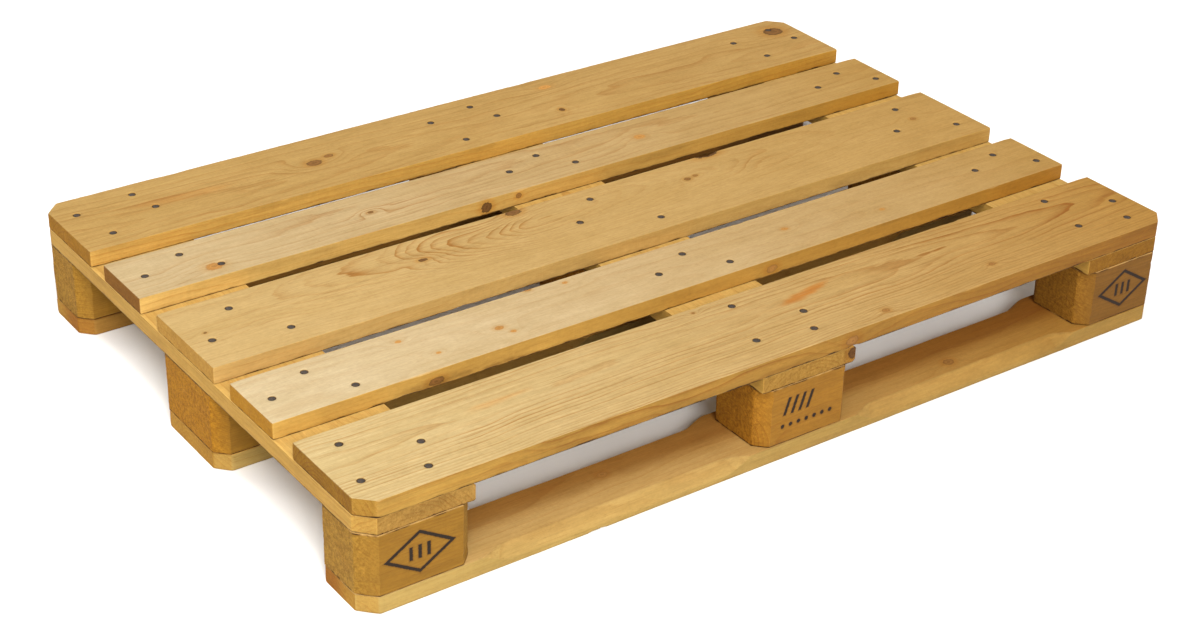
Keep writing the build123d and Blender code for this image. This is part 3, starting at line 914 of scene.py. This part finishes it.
def long_piece(name, node, lo, hi, along, piece, cuts, chips=None, lead=False,
               top_nails=(), bottom_nails=(), step=5.0, vstep=4.2):
    """A board swept along X or Y between corners lo and hi, in mm."""
    lo, hi = np.array(lo, float), np.array(hi, float)
    ax = (0, 1, 2) if along == "x" else (1, 0, 2)
    L = [lo[a] for a in ax]
    H = [hi[a] for a in ax]
    chips = chips or {}
    spots_u, spots_v = [], []
    for x, y in list(top_nails) + list(bottom_nails):
        spots_u.append(((x, y)[ax[0]], 7.0, 1.75))
        spots_v.append(((x, y)[ax[1]], 7.0, 1.75))
    c = np.array(piece["centre"])
    cu, cv = c[ax[0]], c[ax[1]]
    for k in piece.get("knots", []):
        reach = max(2.5, 1.5 * k[2])
        spots_u.append((k[0] + cu, reach, max(1.1, k[2] / 4)))
        reach = max(2.5, 1.5 * k[3])
        spots_v.append((k[1] + cv, reach, max(1.1, k[3] / 4)))
    for e in chips.values():
        for place, length, depth in e:
            spots_u.append((place, length / 2 + 1.5, max(1.0, length / 14)))
    cut_at = sorted({round(cc, 2) for cc in cuts.values()})
    for cc in cut_at:
        if cc > 0:
            for s in (L[0] + cc, H[0] - cc):
                spots_u.append((s, 1.0, 0.7))
    if lead:
        for a, b in ((-460.0, -70.0), (70.0, 460.0)):
            for s in (a, b):
                inward = 1 if s == a else -1
                spots_u.append((s + inward * 6.0, 2.0, 1.0))
                spots_u.append((s + inward * 46.0, 2.0, 1.0))
                spots_u.append((s + inward * 26.0, 20.0, 3.0))
    us = grid_lines(L[0], H[0], step, spots_u, 0.98)
    vs = grid_lines(L[1], H[1], vstep, spots_v)
    t = Timber(us, vs, 8 if not lead else 10, 4 if not lead else 8)
    end = np.minimum(us - L[0], H[0] - us)
    re = 1.3
    inset = np.where(end < re, re - np.sqrt(np.clip(re ** 2 - (re - end) ** 2, 0, None)), 0.0)
    at_lo = us < (L[0] + H[0]) / 2

    def cut(side):
        cc = np.where(at_lo, cuts.get(("lo", side), 0.0), cuts.get(("hi", side), 0.0))
        d = cc - end
        return np.where(cc > 0, np.log1p(np.exp(np.clip(d * 1.6, -30, 30))) / 1.6, 0.0)

    vlo = L[1] + cut("lo") + inset
    vhi = H[1] - cut("hi") - inset
    wlo, whi = L[2] + inset, H[2] - inset
    seed = piece["seed"]
    edges = {}
    for k, key in enumerate(("BR", "TR", "TL", "BL")):
        w = edge_widths(us, L[0], H[0], seed * 7 + k * 13, base=piece.get("arris", 0.80),
                        chips=chips.get(key, ()))
        cwid, chei = w, w * (1 + 0.15 * noise1(us, 30.0, seed + k))
        bulge = np.full_like(w, 0.85)
        for place, length, depth in chips.get(key, ()):
            d = np.clip(1 - np.abs(us - place) / (length / 2), 0, 1)
            bulge = bulge - 0.7 * smooth(0.0, 0.25, d)
        if lead and key in ("TR", "TL"):
            a = np.zeros_like(us)
            for p, q in ((-460.0, -70.0), (70.0, 460.0)):
                a = np.maximum(a, np.minimum(smooth(p + 4.0, p + 46.0, us), smooth(q - 4.0, q - 46.0, us)))
            ripple = 1 + 0.03 * noise1(us, 60.0, seed + 70)
            cwid = w * (1 - a) + 14.0 * a * ripple
            chei = w * (1 - a) + 16.0 * a * ripple
            bulge = 0.85 - 0.79 * smooth(0.0, 0.25, a)
        edges[key] = (np.clip(cwid, 0.4, 26), np.clip(chei, 0.4, 17.5), np.clip(bulge, 0.05, 1))
    thin = H[2] - L[2]
    for a, b in (("BR", "TR"), ("BL", "TL")):
        over = edges[a][1] + edges[b][1] - (thin - 2.5)
        f = np.where(over > 0, (thin - 2.5) / (edges[a][1] + edges[b][1]), 1.0)
        edges[a] = (edges[a][0], edges[a][1] * f, edges[a][2])
        edges[b] = (edges[b][0], edges[b][1] * f, edges[b][2])
    margin = 34.0 if H[1] - L[1] > 90 and any(v > 0 for v in cuts.values()) else 8.0
    fine = None if lead else np.array([0.0, 0.05, 0.13, 0.28, 0.5, 0.72, 0.87, 0.95, 1.0])
    t.sweep(vlo, vhi, wlo, whi, edges, margin, fine).unwrap(True)
    if top_nails:
        t.bores([(n_[ax[0]], n_[ax[1]]) for n_ in top_nails], "top", seed)
    if bottom_nails:
        t.bores([(n_[ax[0]], n_[ax[1]]) for n_ in bottom_nails], "bottom", seed)
    t.skin().caps()
    p, q, uv = t.finish()
    if along == "y":
        p = p[:, [1, 0, 2]]
    return close_up(name, node, p, q, uv, piece, [(x, y, 1) for x, y in top_nails] + [(x, y, -1) for x, y in bottom_nails], lo, hi)


def close_up(name, node, p, q, uv, piece, heads, lo, hi, relief_extra=None, material=None):
    if volume_of(p, q) < 0:
        q, uv = q[:, ::-1], uv[:, ::-1]
    piece = dict(piece, heads=heads)
    n, push = ease(p, q, piece, piece.get("rough", 1.0))
    f, relief = fields(p, n, piece)
    d = np.clip(push + 0.04 - relief, 0.0, None)
    if relief_extra is not None:
        d = d + relief_extra(p, n)
    # a bore's own walls keep their shape
    for x, y, side in heads:
        r = np.hypot(p[:, 0] - x, p[:, 1] - y)
        d = np.where((r < 6.6) & ((p[:, 2] - piece["centre"][2]) * side > 0), 0.35, d)
    p = p - n * d[:, None]
    p = np.clip(p, lo, hi)
    return make_object(name, p, q, uv, f, material or timber_mat, node)


def block_piece(name, node, lo, hi, piece, cuts, fine=2.6, material=None, relief_extra=None, front=None):
    """A block: an eight-sided section in (x, y) swept up z."""
    lo, hi = np.array(lo, float), np.array(hi, float)
    us = grid_lines(lo[2], hi[2], fine if front is None else front)
    vs = grid_lines(lo[0], hi[0], fine if front is None else front)
    t = Timber(us, vs, int(round((hi[1] - lo[1] - 32) / fine)), 10)
    end = np.minimum(us - lo[2], hi[2] - us)
    seed = piece["seed"]
    re = 1.5 + 0.0 * us
    inset = np.where(end < re, re - np.sqrt(np.clip(re ** 2 - (re - end) ** 2, 0, None)), 0.0)
    edges = {}
    for k, key in enumerate(("BR", "TR", "TL", "BL")):   # (x hi, y lo), (hi, hi), (lo, hi), (lo, lo)
        c = cuts[key] + 0.5 * noise1(us, 22.0, seed * 3 + k, 2)
        for place, length, depth in piece.get("nicks", {}).get(key, ()):
            c = c + depth * np.clip(1 - np.abs(us - place) / (length / 2), 0, 1)
        edges[key] = (c, c * (1 + 0.03 * noise1(us, 30.0, seed + k)), np.full_like(us, 0.10))
    vlo, vhi = lo[0] + inset, hi[0] - inset
    wlo, whi = lo[1] + inset, hi[1] - inset
    nw = t.nw
    t.sweep(vlo, vhi, wlo, whi, edges, 27.0, np.linspace(0, 1, nw + 1)).unwrap(False)
    t.skin().caps()
    p, q, uv = t.finish()
    p = p[:, [1, 2, 0]]
    return close_up(name, node, p, q, uv, piece, [], lo, hi, relief_extra, material)


# ------------------------------------------------------------ the pieces' looks
# tone: linear base colour of each face at the left and the right end of the piece, with painted light and shade in it:
# lit faces lighter, shaded faces darker, and a fall-off from left to right
DECK = {
    "front_outer": dict(
        y=(-400.0, -255.0), seed=11, pith=(22.0, -34.0), ring=4.2, gs=0.80,
        rises=[(-600.0, 100.0, 5.0), (100.0, 600.0, 17.0)],
        strong=[(420.0, 15.0, 160.0, 30.0, 0.55), (-330.0, -25.0, 260.0, 40.0, 0.30)],
        knots=[(128.0, -55.5, 5.5, 4.0, 0.5), (317.0, -39.5, 5.0, 3.6, 0.5), (-37.0, 80.5, 3.0, 2.2, 0.4),
               (-70.0, 62.5, 2.4, 1.8, 0.6), (62.0, -72.5, 10.0, 7.0, 0.55, 0.0, 1.5, 6.0, -2.0)],
        flames=[(73.0, 29.0, 40.0, 7.0, 0.20, 0.95), (-372.0, 24.0, 46.0, 3.4, 0.02, 0.45)],
        chips={"TR": [(-60.0, 20.0, 1.6), (352.0, 26.0, 1.2)], "TL": [(-577.0, 9.0, 2.0), (252.0, 40.0, 0.9)],
               "BL": [(66.0, 16.0, 2.6), (-140.0, 30.0, 1.2)]}),
    "front_inner": dict(
        y=(-211.0, -111.0), seed=23, pith=(-30.0, -130.0), ring=5.2, gs=0.30,
        knots=[(-396.0, 27.0, 4.2, 3.2, 0.1), (-370.0, -19.0, 3.6, 2.6, 0.1), (-281.0, -9.0, 6.0, 4.2, 0.25),
               (-271.0, -24.0, 4.0, 3.0, 0.15), (-155.0, 40.0, 4.2, 3.0, 0.15),
               (160.0, 6.0, 5.2, 3.8, 0.2), (302.0, -19.0, 4.4, 3.2, 0.15), (-203.0, 50.0, 6.0, 4.5, 0.35, 0.0, 1.2, 6.0, 11.0),
               (95.0, -50.0, 9.0, 6.0, 0.40, 0.0, 1.5, 5.5, -2.0), (-392.0, -50.0, 11.0, 6.0, 0.55, 0.0, 1.5, 5.0, -4.0)],
        stains=[(-385.0, -50.0, -5.0, 60.0, 5.0, 6.0, 0.58), (-300.0, -50.0, -8.0, 40.0, 5.0, 4.0, 0.55)],
        chips={"TL": [(-412.0, 60.0, 1.3), (470.0, 22.0, 1.4)], "BL": [(-436.0, 44.0, 2.2)], "TR": [(120.0, 18.0, 1.2)]}),
    "centre": dict(
        y=(-72.5, 72.5), seed=37, pith=(38.0, -84.0), ring=4.4, gs=0.34, sway=3.0,
        rises=[(-490.0, -300.0, -18.0), (-300.0, -118.0, -50.0), (-90.0, 420.0, 52.0)],
        strong=[(-300.0, 34.0, 130.0, 26.0, 1.05), (-160.0, 44.0, 60.0, 30.0, 0.85), (263.0, 22.0, 26.0, 14.0, 0.5)],
        knots=[(-105.0, 66.5, 12.0, 7.0, 0.8, 0.2, 2.5, 9.0, 11.0), (-268.0, 20.0, 7.0, 3.6, 0.9), (143.0, 25.0, 5.0, 4.0, 0.7),
               (158.0, 28.0, 4.2, 3.0, 0.55), (209.0, 72.0, 19.0, 8.0, 0.95, 0.1, 2.5, 12.0, 9.0), (527.0, 8.0, 5.0, 4.0, 0.5),
               (-571.0, 3.0, 2.2, 1.8, 0.8)],
        warps=[(-150.0, 60.0, 40.0, 22.0, 4.0), (260.0, 20.0, 24.0, 12.0, 1.4)],
        chips={"TR": [(209.0, 34.0, 6.5), (-520.0, 18.0, 1.4)], "TL": [(330.0, 30.0, 1.2)], "BL": [(-270.0, 26.0, 1.8)]}),
    "back_inner": dict(
        y=(116.5, 216.5), seed=41, pith=(18.0, -48.0), ring=5.0, gs=0.46,
        rises=[(-600.0, 0.0, 12.0), (0.0, 600.0, 9.0)],
        strong=[(-250.0, 4.0, 70.0, 22.0, 0.60), (30.0, 14.0, 90.0, 14.0, 0.35)],
        knots=[(-488.0, -24.5, 12.0, 9.0, 0.22, 0.25, 2.0), (-257.0, -1.5, 4.2, 3.0, 0.75, 0.2, 2.4),
               (167.0, -1.5, 9.0, 6.5, 0.12, 0.25, 2.0), (-113.0, -50.0, 8.5, 7.0, 0.9, 0.0, 1.5, 7.5, -1.0), (-63.0, -50.0, 5.0, 3.0, 0.6, 0.0, 0.8, 4.0, 3.0)],
        chips={"TL": [(-60.0, 26.0, 1.8)], "TR": [(300.0, 20.0, 1.2)]}),
    "back_outer": dict(
        y=(255.0, 400.0), seed=59, pith=(-20.0, -58.0), ring=5.4, gs=0.52,
        rises=[(-600.0, 0.0, 16.0), (0.0, 600.0, -12.0)],
        strong=[(-420.0, 12.0, 120.0, 26.0, 0.40), (150.0, 40.0, 50.0, 18.0, 0.35)],
        knots=[(-247.0, 1.5, 11.0, 7.5, 0.72, 0.3, 3.0), (-220.0, 10.5, 7.0, 4.5, 0.62, 0.3, 1.2),
               (561.0, 32.5, 16.0, 13.0, 0.78, 0.2, 3.0), (128.0, -32.5, 4.2, 5.2, 0.9), (150.0, 44.0, 10.0, 6.0, 0.0, 0.3, 1.8)],
        flames=[(-440.0, 6.0, 70.0, 9.0, -0.05, 0.30)],
        chips={"TR": [(-420.0, 50.0, 1.4), (120.0, 30.0, 1.1)], "TL": [(-330.0, 14.0, 1.3)]}),
}
# Mean colour of each piece's faces, linear: at its left and its right end where there are two. The values hold painted
# light and shade: tops, fronts and left ends differ as the light falls on them, and the change from left to right is
# the light's fall-off.
# tones begin
TONE_AND_PAINTED_LIGHT = {
    "deck front_outer": dict(top=[(0.4165, 0.3131, 0.1460), (0.3044, 0.1618, 0.0340)], front=[(0.3047, 0.1742, 0.0326), (0.1797, 0.0744, 0.0070)],
        left=[(0.2210, 0.1069, 0.0070)]),
    "deck front_inner": dict(top=[(0.4270, 0.3350, 0.1953), (0.3154, 0.1827, 0.0485)], front=[(0.4545, 0.2700, 0.0606), (0.2618, 0.1150, 0.0104)],
        left=[(0.3306, 0.1562, 0.0097)]),
    "deck centre": dict(top=[(0.3917, 0.2681, 0.1075), (0.3316, 0.1951, 0.0549)], front=[(0.4195, 0.2644, 0.0860), (0.3404, 0.1973, 0.0473)],
        left=[(0.3670, 0.2013, 0.0379)]),
    "deck back_inner": dict(top=[(0.3936, 0.2950, 0.1563), (0.3264, 0.1903, 0.0504)], front=[(0.5102, 0.3265, 0.0963), (0.2913, 0.1391, 0.0132)],
        left=[(0.1897, 0.0786, 0.0070)]),
    "deck back_outer": dict(top=[(0.3447, 0.2153, 0.0665), (0.3420, 0.2059, 0.0632)], front=[(0.4482, 0.2616, 0.0605), (0.3459, 0.1753, 0.0211)],
        left=[(0.2700, 0.1261, 0.0073)]),
    "cross left": dict(top=[(0.5000, 0.3100, 0.0850), (0.5000, 0.3100, 0.0850)], front=[(0.2652, 0.1489, 0.0324), (0.2652, 0.1489, 0.0324)],
        left=[(0.4126, 0.2415, 0.0489)]),
    "cross centre": dict(top=[(0.5000, 0.3100, 0.0850), (0.5000, 0.3100, 0.0850)], front=[(0.2557, 0.1397, 0.0258), (0.2557, 0.1397, 0.0258)],
        left=[(0.4126, 0.2415, 0.0489)]),
    "cross right": dict(top=[(0.5000, 0.3100, 0.0850), (0.5000, 0.3100, 0.0850)], front=[(0.1813, 0.0824, 0.0070), (0.1813, 0.0824, 0.0070)],
        left=[(0.4126, 0.2415, 0.0489)]),
    "block front left": dict(top=[(0.5600, 0.3500, 0.1200), (0.5600, 0.3500, 0.1200)], front=[(0.2154, 0.1063, 0.0106), (0.2154, 0.1063, 0.0106)],
        left=[(0.2960, 0.1647, 0.0245)]),
    "block front centre": dict(top=[(0.5600, 0.3500, 0.1200), (0.5600, 0.3500, 0.1200)], front=[(0.2310, 0.1065, 0.0104), (0.2310, 0.1065, 0.0104)],
        left=[(0.3138, 0.1386, 0.0100)]),
    "block front right": dict(top=[(0.5600, 0.3500, 0.1200), (0.5600, 0.3500, 0.1200)], front=[(0.1390, 0.0615, 0.0070), (0.1390, 0.0615, 0.0070)],
        left=[(0.2485, 0.1159, 0.0115)]),
    "block mid left": dict(top=[(0.5600, 0.3500, 0.1200), (0.5600, 0.3500, 0.1200)], front=[(0.2154, 0.1063, 0.0106), (0.2154, 0.1063, 0.0106)],
        left=[(0.3239, 0.1470, 0.0070)]),
    "block mid centre": dict(top=[(0.5600, 0.3500, 0.1200), (0.5600, 0.3500, 0.1200)], front=[(0.1560, 0.0725, 0.0078), (0.1560, 0.0725, 0.0078)],
        left=[(0.3138, 0.1386, 0.0100)]),
    "block mid right": dict(top=[(0.5600, 0.3500, 0.1200), (0.5600, 0.3500, 0.1200)], front=[(0.1228, 0.0522, 0.0070), (0.1228, 0.0522, 0.0070)],
        left=[(0.2485, 0.1159, 0.0115)]),
    "block back left": dict(top=[(0.5600, 0.3500, 0.1200), (0.5600, 0.3500, 0.1200)], front=[(0.2154, 0.1063, 0.0106), (0.2154, 0.1063, 0.0106)],
        left=[(0.2901, 0.1561, 0.0188)]),
    "block back centre": dict(top=[(0.5600, 0.3500, 0.1200), (0.5600, 0.3500, 0.1200)], front=[(0.1560, 0.0725, 0.0078), (0.1560, 0.0725, 0.0078)],
        left=[(0.3138, 0.1386, 0.0100)]),
    "block back right": dict(top=[(0.5600, 0.3500, 0.1200), (0.5600, 0.3500, 0.1200)], front=[(0.1228, 0.0522, 0.0070), (0.1228, 0.0522, 0.0070)],
        left=[(0.2485, 0.1159, 0.0115)]),
    "base front": dict(top=[(0.4450, 0.2900, 0.1050), (0.2620, 0.1200, 0.0140)], front=[(0.3420, 0.2330, 0.0690), (0.2250, 0.1280, 0.0260)],
        left=[(0.3395, 0.1792, 0.0251)]),
    "base mid": dict(top=[(0.3689, 0.2041, 0.0446), (0.2800, 0.1259, 0.0142)], front=[(0.3231, 0.2186, 0.0632), (0.1647, 0.0923, 0.0174)],
        left=[(0.3395, 0.1792, 0.0251)]),
    "base back": dict(top=[(0.3689, 0.2041, 0.0446), (0.2800, 0.1259, 0.0142)], front=[(0.3231, 0.2186, 0.0632), (0.1647, 0.0923, 0.0174)],
        left=[(0.3395, 0.1792, 0.0251)]),
}
# tones end


def tone_and_painted_light_of(kind, key):
    t = TONE_AND_PAINTED_LIGHT[kind + " " + key]
    top, front, left = t["top"], t["front"], t["left"]
    # faces out of view take painted colours from their neighbours: the bottom is the top a tenth darker, the back
    # takes the front's, the right end and any slanted face take the mean of the front and the left
    under = [[v * 0.9 for v in c] for c in top]
    cut = [[(f + l) / 2 for f, l in zip(front[i], left[0])] for i in (0, 1)]
    return dict(all=cut, top=top, bottom=under, front=front, back=front, left=left * 2, right=cut)


made = []
for key, d in DECK.items():
    y0, y1 = d["y"]
    node = f"deck_board_{key}"
    blo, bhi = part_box(node)
    lo = [v * 1000 for v in blo]
    hi = [v * 1000 for v in bhi]
    piece = dict(d, centre=((lo[0] + hi[0]) / 2, (lo[1] + hi[1]) / 2, (lo[2] + hi[2]) / 2), half=(600.0, (hi[1] - lo[1]) / 2, 11.0),
                 grain="x", tones_and_painted_light=tone_and_painted_light_of("deck", key))
    cuts = {}
    if key == "front_outer":
        cuts = {("lo", "lo"): 20.0, ("hi", "lo"): 20.0}
    if key == "back_outer":
        cuts = {("lo", "hi"): 20.0, ("hi", "hi"): 20.0}
    nails = LONG.get(key, []) + SHORT.get(key, [])
    made.append(long_piece(f"{node}_timber", node, lo, hi, "x", piece, cuts, d.get("chips"), top_nails=nails,
                           step=5.4 if key == "front_outer" else 5.0, vstep=5.1 if y1 - y0 > 120 else 4.2))

for k, (key, cx) in enumerate(COLUMN.items()):
    node = f"cross_board_{key}"
    blo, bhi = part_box(node)
    lo = [v * 1000 for v in blo]
    hi = [v * 1000 for v in bhi]
    piece = dict(centre=((lo[0] + hi[0]) / 2, 0.0, (lo[2] + hi[2]) / 2), half=(70.0, 400.0, 11.0), grain="y", seed=71 + 6 * k,
                 pith=(-18.0 + 22 * k, -46.0 - 12 * k), ring=4.6, gs=0.5, tones_and_painted_light=tone_and_painted_light_of("cross", key), dirt=0.08, edge_shade=(0.95, 0.35), torn=0.45,
                 knots=[[(-188.0, 22.0, 8.0, 6.0, 0.6)], [(90.0, -30.0, 7.0, 5.0, 0.4), (-400.0, 66.0, 7.0, 8.0, 0.95, 0.0, 1.0, 8.0, 2.0)],
                        [(-60.0, 15.0, 9.0, 6.5, 0.3), (240.0, -33.0, 6.0, 4.4, 0.7)]][k])
    side = {"left": "lo", "right": "hi"}.get(key)
    cuts = {("lo", side): 20.0, ("hi", side): 20.0} if side else {}
    chips = [{"TR": [(-390.0, 22.0, 3.0)], "BL": [(-382.0, 26.0, 2.6)]},
             {"TR": [(-394.0, 24.0, 3.2), (-200.0, 24.0, 1.6)], "TL": [(-384.0, 16.0, 2.0)], "BR": [(-392.0, 22.0, 4.0)]},
             {"TL": [(-386.0, 20.0, 2.4)], "TR": [(120.0, 24.0, 1.6)]}][k]
    made.append(long_piece(f"{node}_timber", node, lo, hi, "y", piece, cuts, chips, vstep=4.5))

for k, row in enumerate(ROW):
    node = f"base_board_{row}"
    blo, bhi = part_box(node)
    lo = [v * 1000 for v in blo]
    hi = [v * 1000 for v in bhi]
    tones_and_painted_light = tone_and_painted_light_of("base", row)
    # painted light: the mid base board's top, seen through the deck's gaps, is made lighter than its table value
    if row == "mid":
        tones_and_painted_light["top"] = [[min(0.85, v * 1.55) for v in c] for c in tones_and_painted_light["top"]]
    piece = dict(centre=(0.0, ROW[row], 11.0), half=(600.0, (hi[1] - lo[1]) / 2, 11.0), grain="x", seed=97 + 8 * k,
                 pith=[(30.0, -70.0), (-12.0, -40.0), (-34.0, -90.0)][k], ring=5.0, gs=0.42, tones_and_painted_light=tones_and_painted_light, dirt=0.05, edge_shade=(0.25, 0.30), side_patch=0.12,
                 knots=[[(-250.0, 12.0, 7.0, 5.0, 0.3), (260.0, -18.0, 8.0, 6.0, 0.55)], [(-330.0, 20.0, 8.0, 6.0, 0.6), (210.0, -25.0, 7.0, 5.0, 0.3)],
                        [(180.0, 14.0, 9.0, 6.0, 0.65)]][k])
    # painted shade under the deck on the front and back base boards
    if row != "mid":
        piece["sheltered"] = (1.0 if row == "front" else -1.0, (0.77, 0.58, 0.36))
    f, b = {"front": (20.0, 17.0), "mid": (17.0, 17.0), "back": (17.0, 20.0)}[row]
    cuts = {("lo", "lo"): f, ("hi", "lo"): f, ("lo", "hi"): b, ("hi", "hi"): b}
    chips = {"BL": [(-300.0 + 190 * k, 26.0, 2.0)], "BR": [(140.0 - 90 * k, 22.0, 1.8)]}
    made.append(long_piece(f"{node}_timber", node, lo, hi, "x", piece, cuts, chips, lead=True, bottom_nails=BASE[row]))

marks = {"left": ("lozenge", -0.530, 0.062), "centre": ("bars", 0.0, 0.062), "right": ("lozenge", 0.530, 0.062)}
for r, row in enumerate(ROW):
    for c, (col, cx) in enumerate(COLUMN.items()):
        node = f"block_{row}_{col}"
        blo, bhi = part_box(node)
        lo = [v * 1000 for v in blo]
        hi = [v * 1000 for v in bhi]
        seed = 131 + 7 * (3 * r + c)
        rng = np.random.default_rng(seed)
        piece = dict(centre=((lo[0] + hi[0]) / 2, (lo[1] + hi[1]) / 2, 61.0), half=(70.0, (hi[1] - lo[1]) / 2, 39.0), grain="x",
                     seed=seed, pith=(float(rng.uniform(-50, 50)), float(rng.uniform(-95, -20))), ring=float(rng.uniform(2.6, 4.0)),
                     gs=0.55, tones_and_painted_light=tone_and_painted_light_of("block", row + " " + col), dirt=0.08, rises=[(-70.0, 70.0, 3.0)], rough=1.25,
                     edge_shade=(1.0, 1.0), side_patch=0.12, torn=0.85,
                     nicks={"BL": [(float(rng.uniform(30, 92)), 14.0, 1.6)], "BR": [(float(rng.uniform(30, 92)), 10.0, 1.2)]})
        if row == "mid" and col == "centre":
            piece["knots"] = [(20.0, -30.0, 9.0, 7.0, 0.6)]
        corner = {"BR": 16.0, "TR": 16.0, "TL": 16.0, "BL": 16.0}
        if row != "mid" and col != "centre":
            corner[("B" if row == "front" else "T") + ("L" if col == "left" else "R")] = 20.0
        material = None
        extra = None
        if row == "front":
            material = wood(f"sawn_timber_front_{col}", mark=marks[col])

            def extra(p, n, kind=marks[col][0], mx=marks[col][1] * 1000, mz=marks[col][2] * 1000):
                d = figure_distance(kind, p[:, 0] - mx, p[:, 2] - mz)
                return np.where(n[:, 1] < -0.9, 0.45 * smooth(0.7, -0.5, d), 0.0)

        made.append(block_piece(f"{node}_timber", node, lo, hi, piece, corner, material=material, relief_extra=extra,
                                front=1.15 if row == "front" else None))

z_top = 144.0
for k, (key, nails) in enumerate(LONG.items()):
    p, q, uv = nail_mesh(nails, z_top - 0.62, 87.8, 1, 500 + k)
    made.append(make_object(f"long_nails_deck_{key}_steel", p, q, uv, {}, steel_mat, f"long_nails_deck_{key}", sharp=50))
for k, (key, nails) in enumerate(SHORT.items()):
    p, q, uv = nail_mesh(nails, z_top - 0.62, 37.8, 1, 520 + k)
    made.append(make_object(f"short_nails_deck_{key}_steel", p, q, uv, {}, steel_mat, f"short_nails_deck_{key}", sharp=50))
for k, (key, nails) in enumerate(BASE.items()):
    p, q, uv = nail_mesh(nails, 0.62, 67.8, -1, 540 + k)
    made.append(make_object(f"base_nails_{key}_steel", p, q, uv, {}, steel_mat, f"base_nails_{key}", sharp=50))


# ---------------------------------------------------------------- floor, light
def plane(name, size, z):
    mesh = bpy.data.meshes.new(name)
    mesh.from_pydata([(-size, -size, z), (size, -size, z), (size, size, z), (-size, size, z)], [], [(0, 1, 2, 3)])
    o = bpy.data.objects.new(name, mesh)
    scene.collection.objects.link(o)
    return o


floor = plane("floor", 14.0, -0.0004)
fm = Nodes("floor_paint")
fm.shader.inputs["Base Color"].default_value = (0.82, 0.815, 0.81, 1)
fm.shader.inputs["Roughness"].default_value = 0.9
fm.shader.inputs["Specular IOR Level"].default_value = 0.1
floor.data.materials.append(fm.mat)


def area(name, place, aim, size, power, colour=(1, 1, 1)):
    light = bpy.data.lights.new(name, "AREA")
    light.shape = "RECTANGLE"
    light.size, light.size_y = size
    light.energy = power
    light.color = colour
    o = bpy.data.objects.new(name, light)
    o.location = place
    o.rotation_euler = (Vector(aim) - Vector(place)).to_track_quat("-Z", "Y").to_euler()
    scene.collection.objects.link(o)
    return o


def distant(name, direction, energy, angle, colour=(1, 1, 1)):
    light = bpy.data.lights.new(name, "SUN")
    light.energy, light.angle, light.color = energy, math.radians(angle), colour
    o = bpy.data.objects.new(name, light)
    o.rotation_euler = Vector(direction).to_track_quat("-Z", "Y").to_euler()
    scene.collection.objects.link(o)
    return o


distant("front_high", (0.34, 0.95, -0.84), 1.5, 30.0, (1.0, 0.99, 0.97))
distant("top_panel", (0.18, 0.50, -1.0), 0.9, 9.0, (1.0, 0.99, 0.97))
distant("front_low", (0.30, 0.92, -0.51), 2.0, 24.0, (1.0, 0.99, 0.975))
distant("back_high", (0.22, -0.95, -0.86), 1.6, 34.0, (1.0, 0.995, 0.985))
distant("right_fill", (-0.95, 0.12, -0.48), 1.1, 40.0, (1.0, 0.995, 0.985))
area("key", (-1.5, -1.1, 1.9), (-0.35, -0.1, 0.1), (1.3, 1.3), 34.0, (1.0, 0.985, 0.96))

world = bpy.data.worlds.new("studio")
scene.world = world
world.use_nodes = True
nt = world.node_tree
nt.nodes.clear()
out = nt.nodes.new("ShaderNodeOutputWorld")
lit = nt.nodes.new("ShaderNodeBackground")
lit.inputs[0].default_value = (1, 0.965, 0.92, 1)
lit.inputs[1].default_value = 0.19
seen = nt.nodes.new("ShaderNodeBackground")
seen.inputs[0].default_value = (1, 1, 1, 1)
seen.inputs[1].default_value = 1.0
path = nt.nodes.new("ShaderNodeLightPath")
both = nt.nodes.new("ShaderNodeMixShader")
nt.links.new(path.outputs["Is Camera Ray"], both.inputs[0])
nt.links.new(lit.outputs[0], both.inputs[1])
nt.links.new(seen.outputs[0], both.inputs[2])
nt.links.new(both.outputs[0], out.inputs[0])

scene.view_settings.view_transform = "Standard"
scene.view_settings.look = "None"
scene.view_settings.exposure = 0.0
scene.view_settings.gamma = 1.0
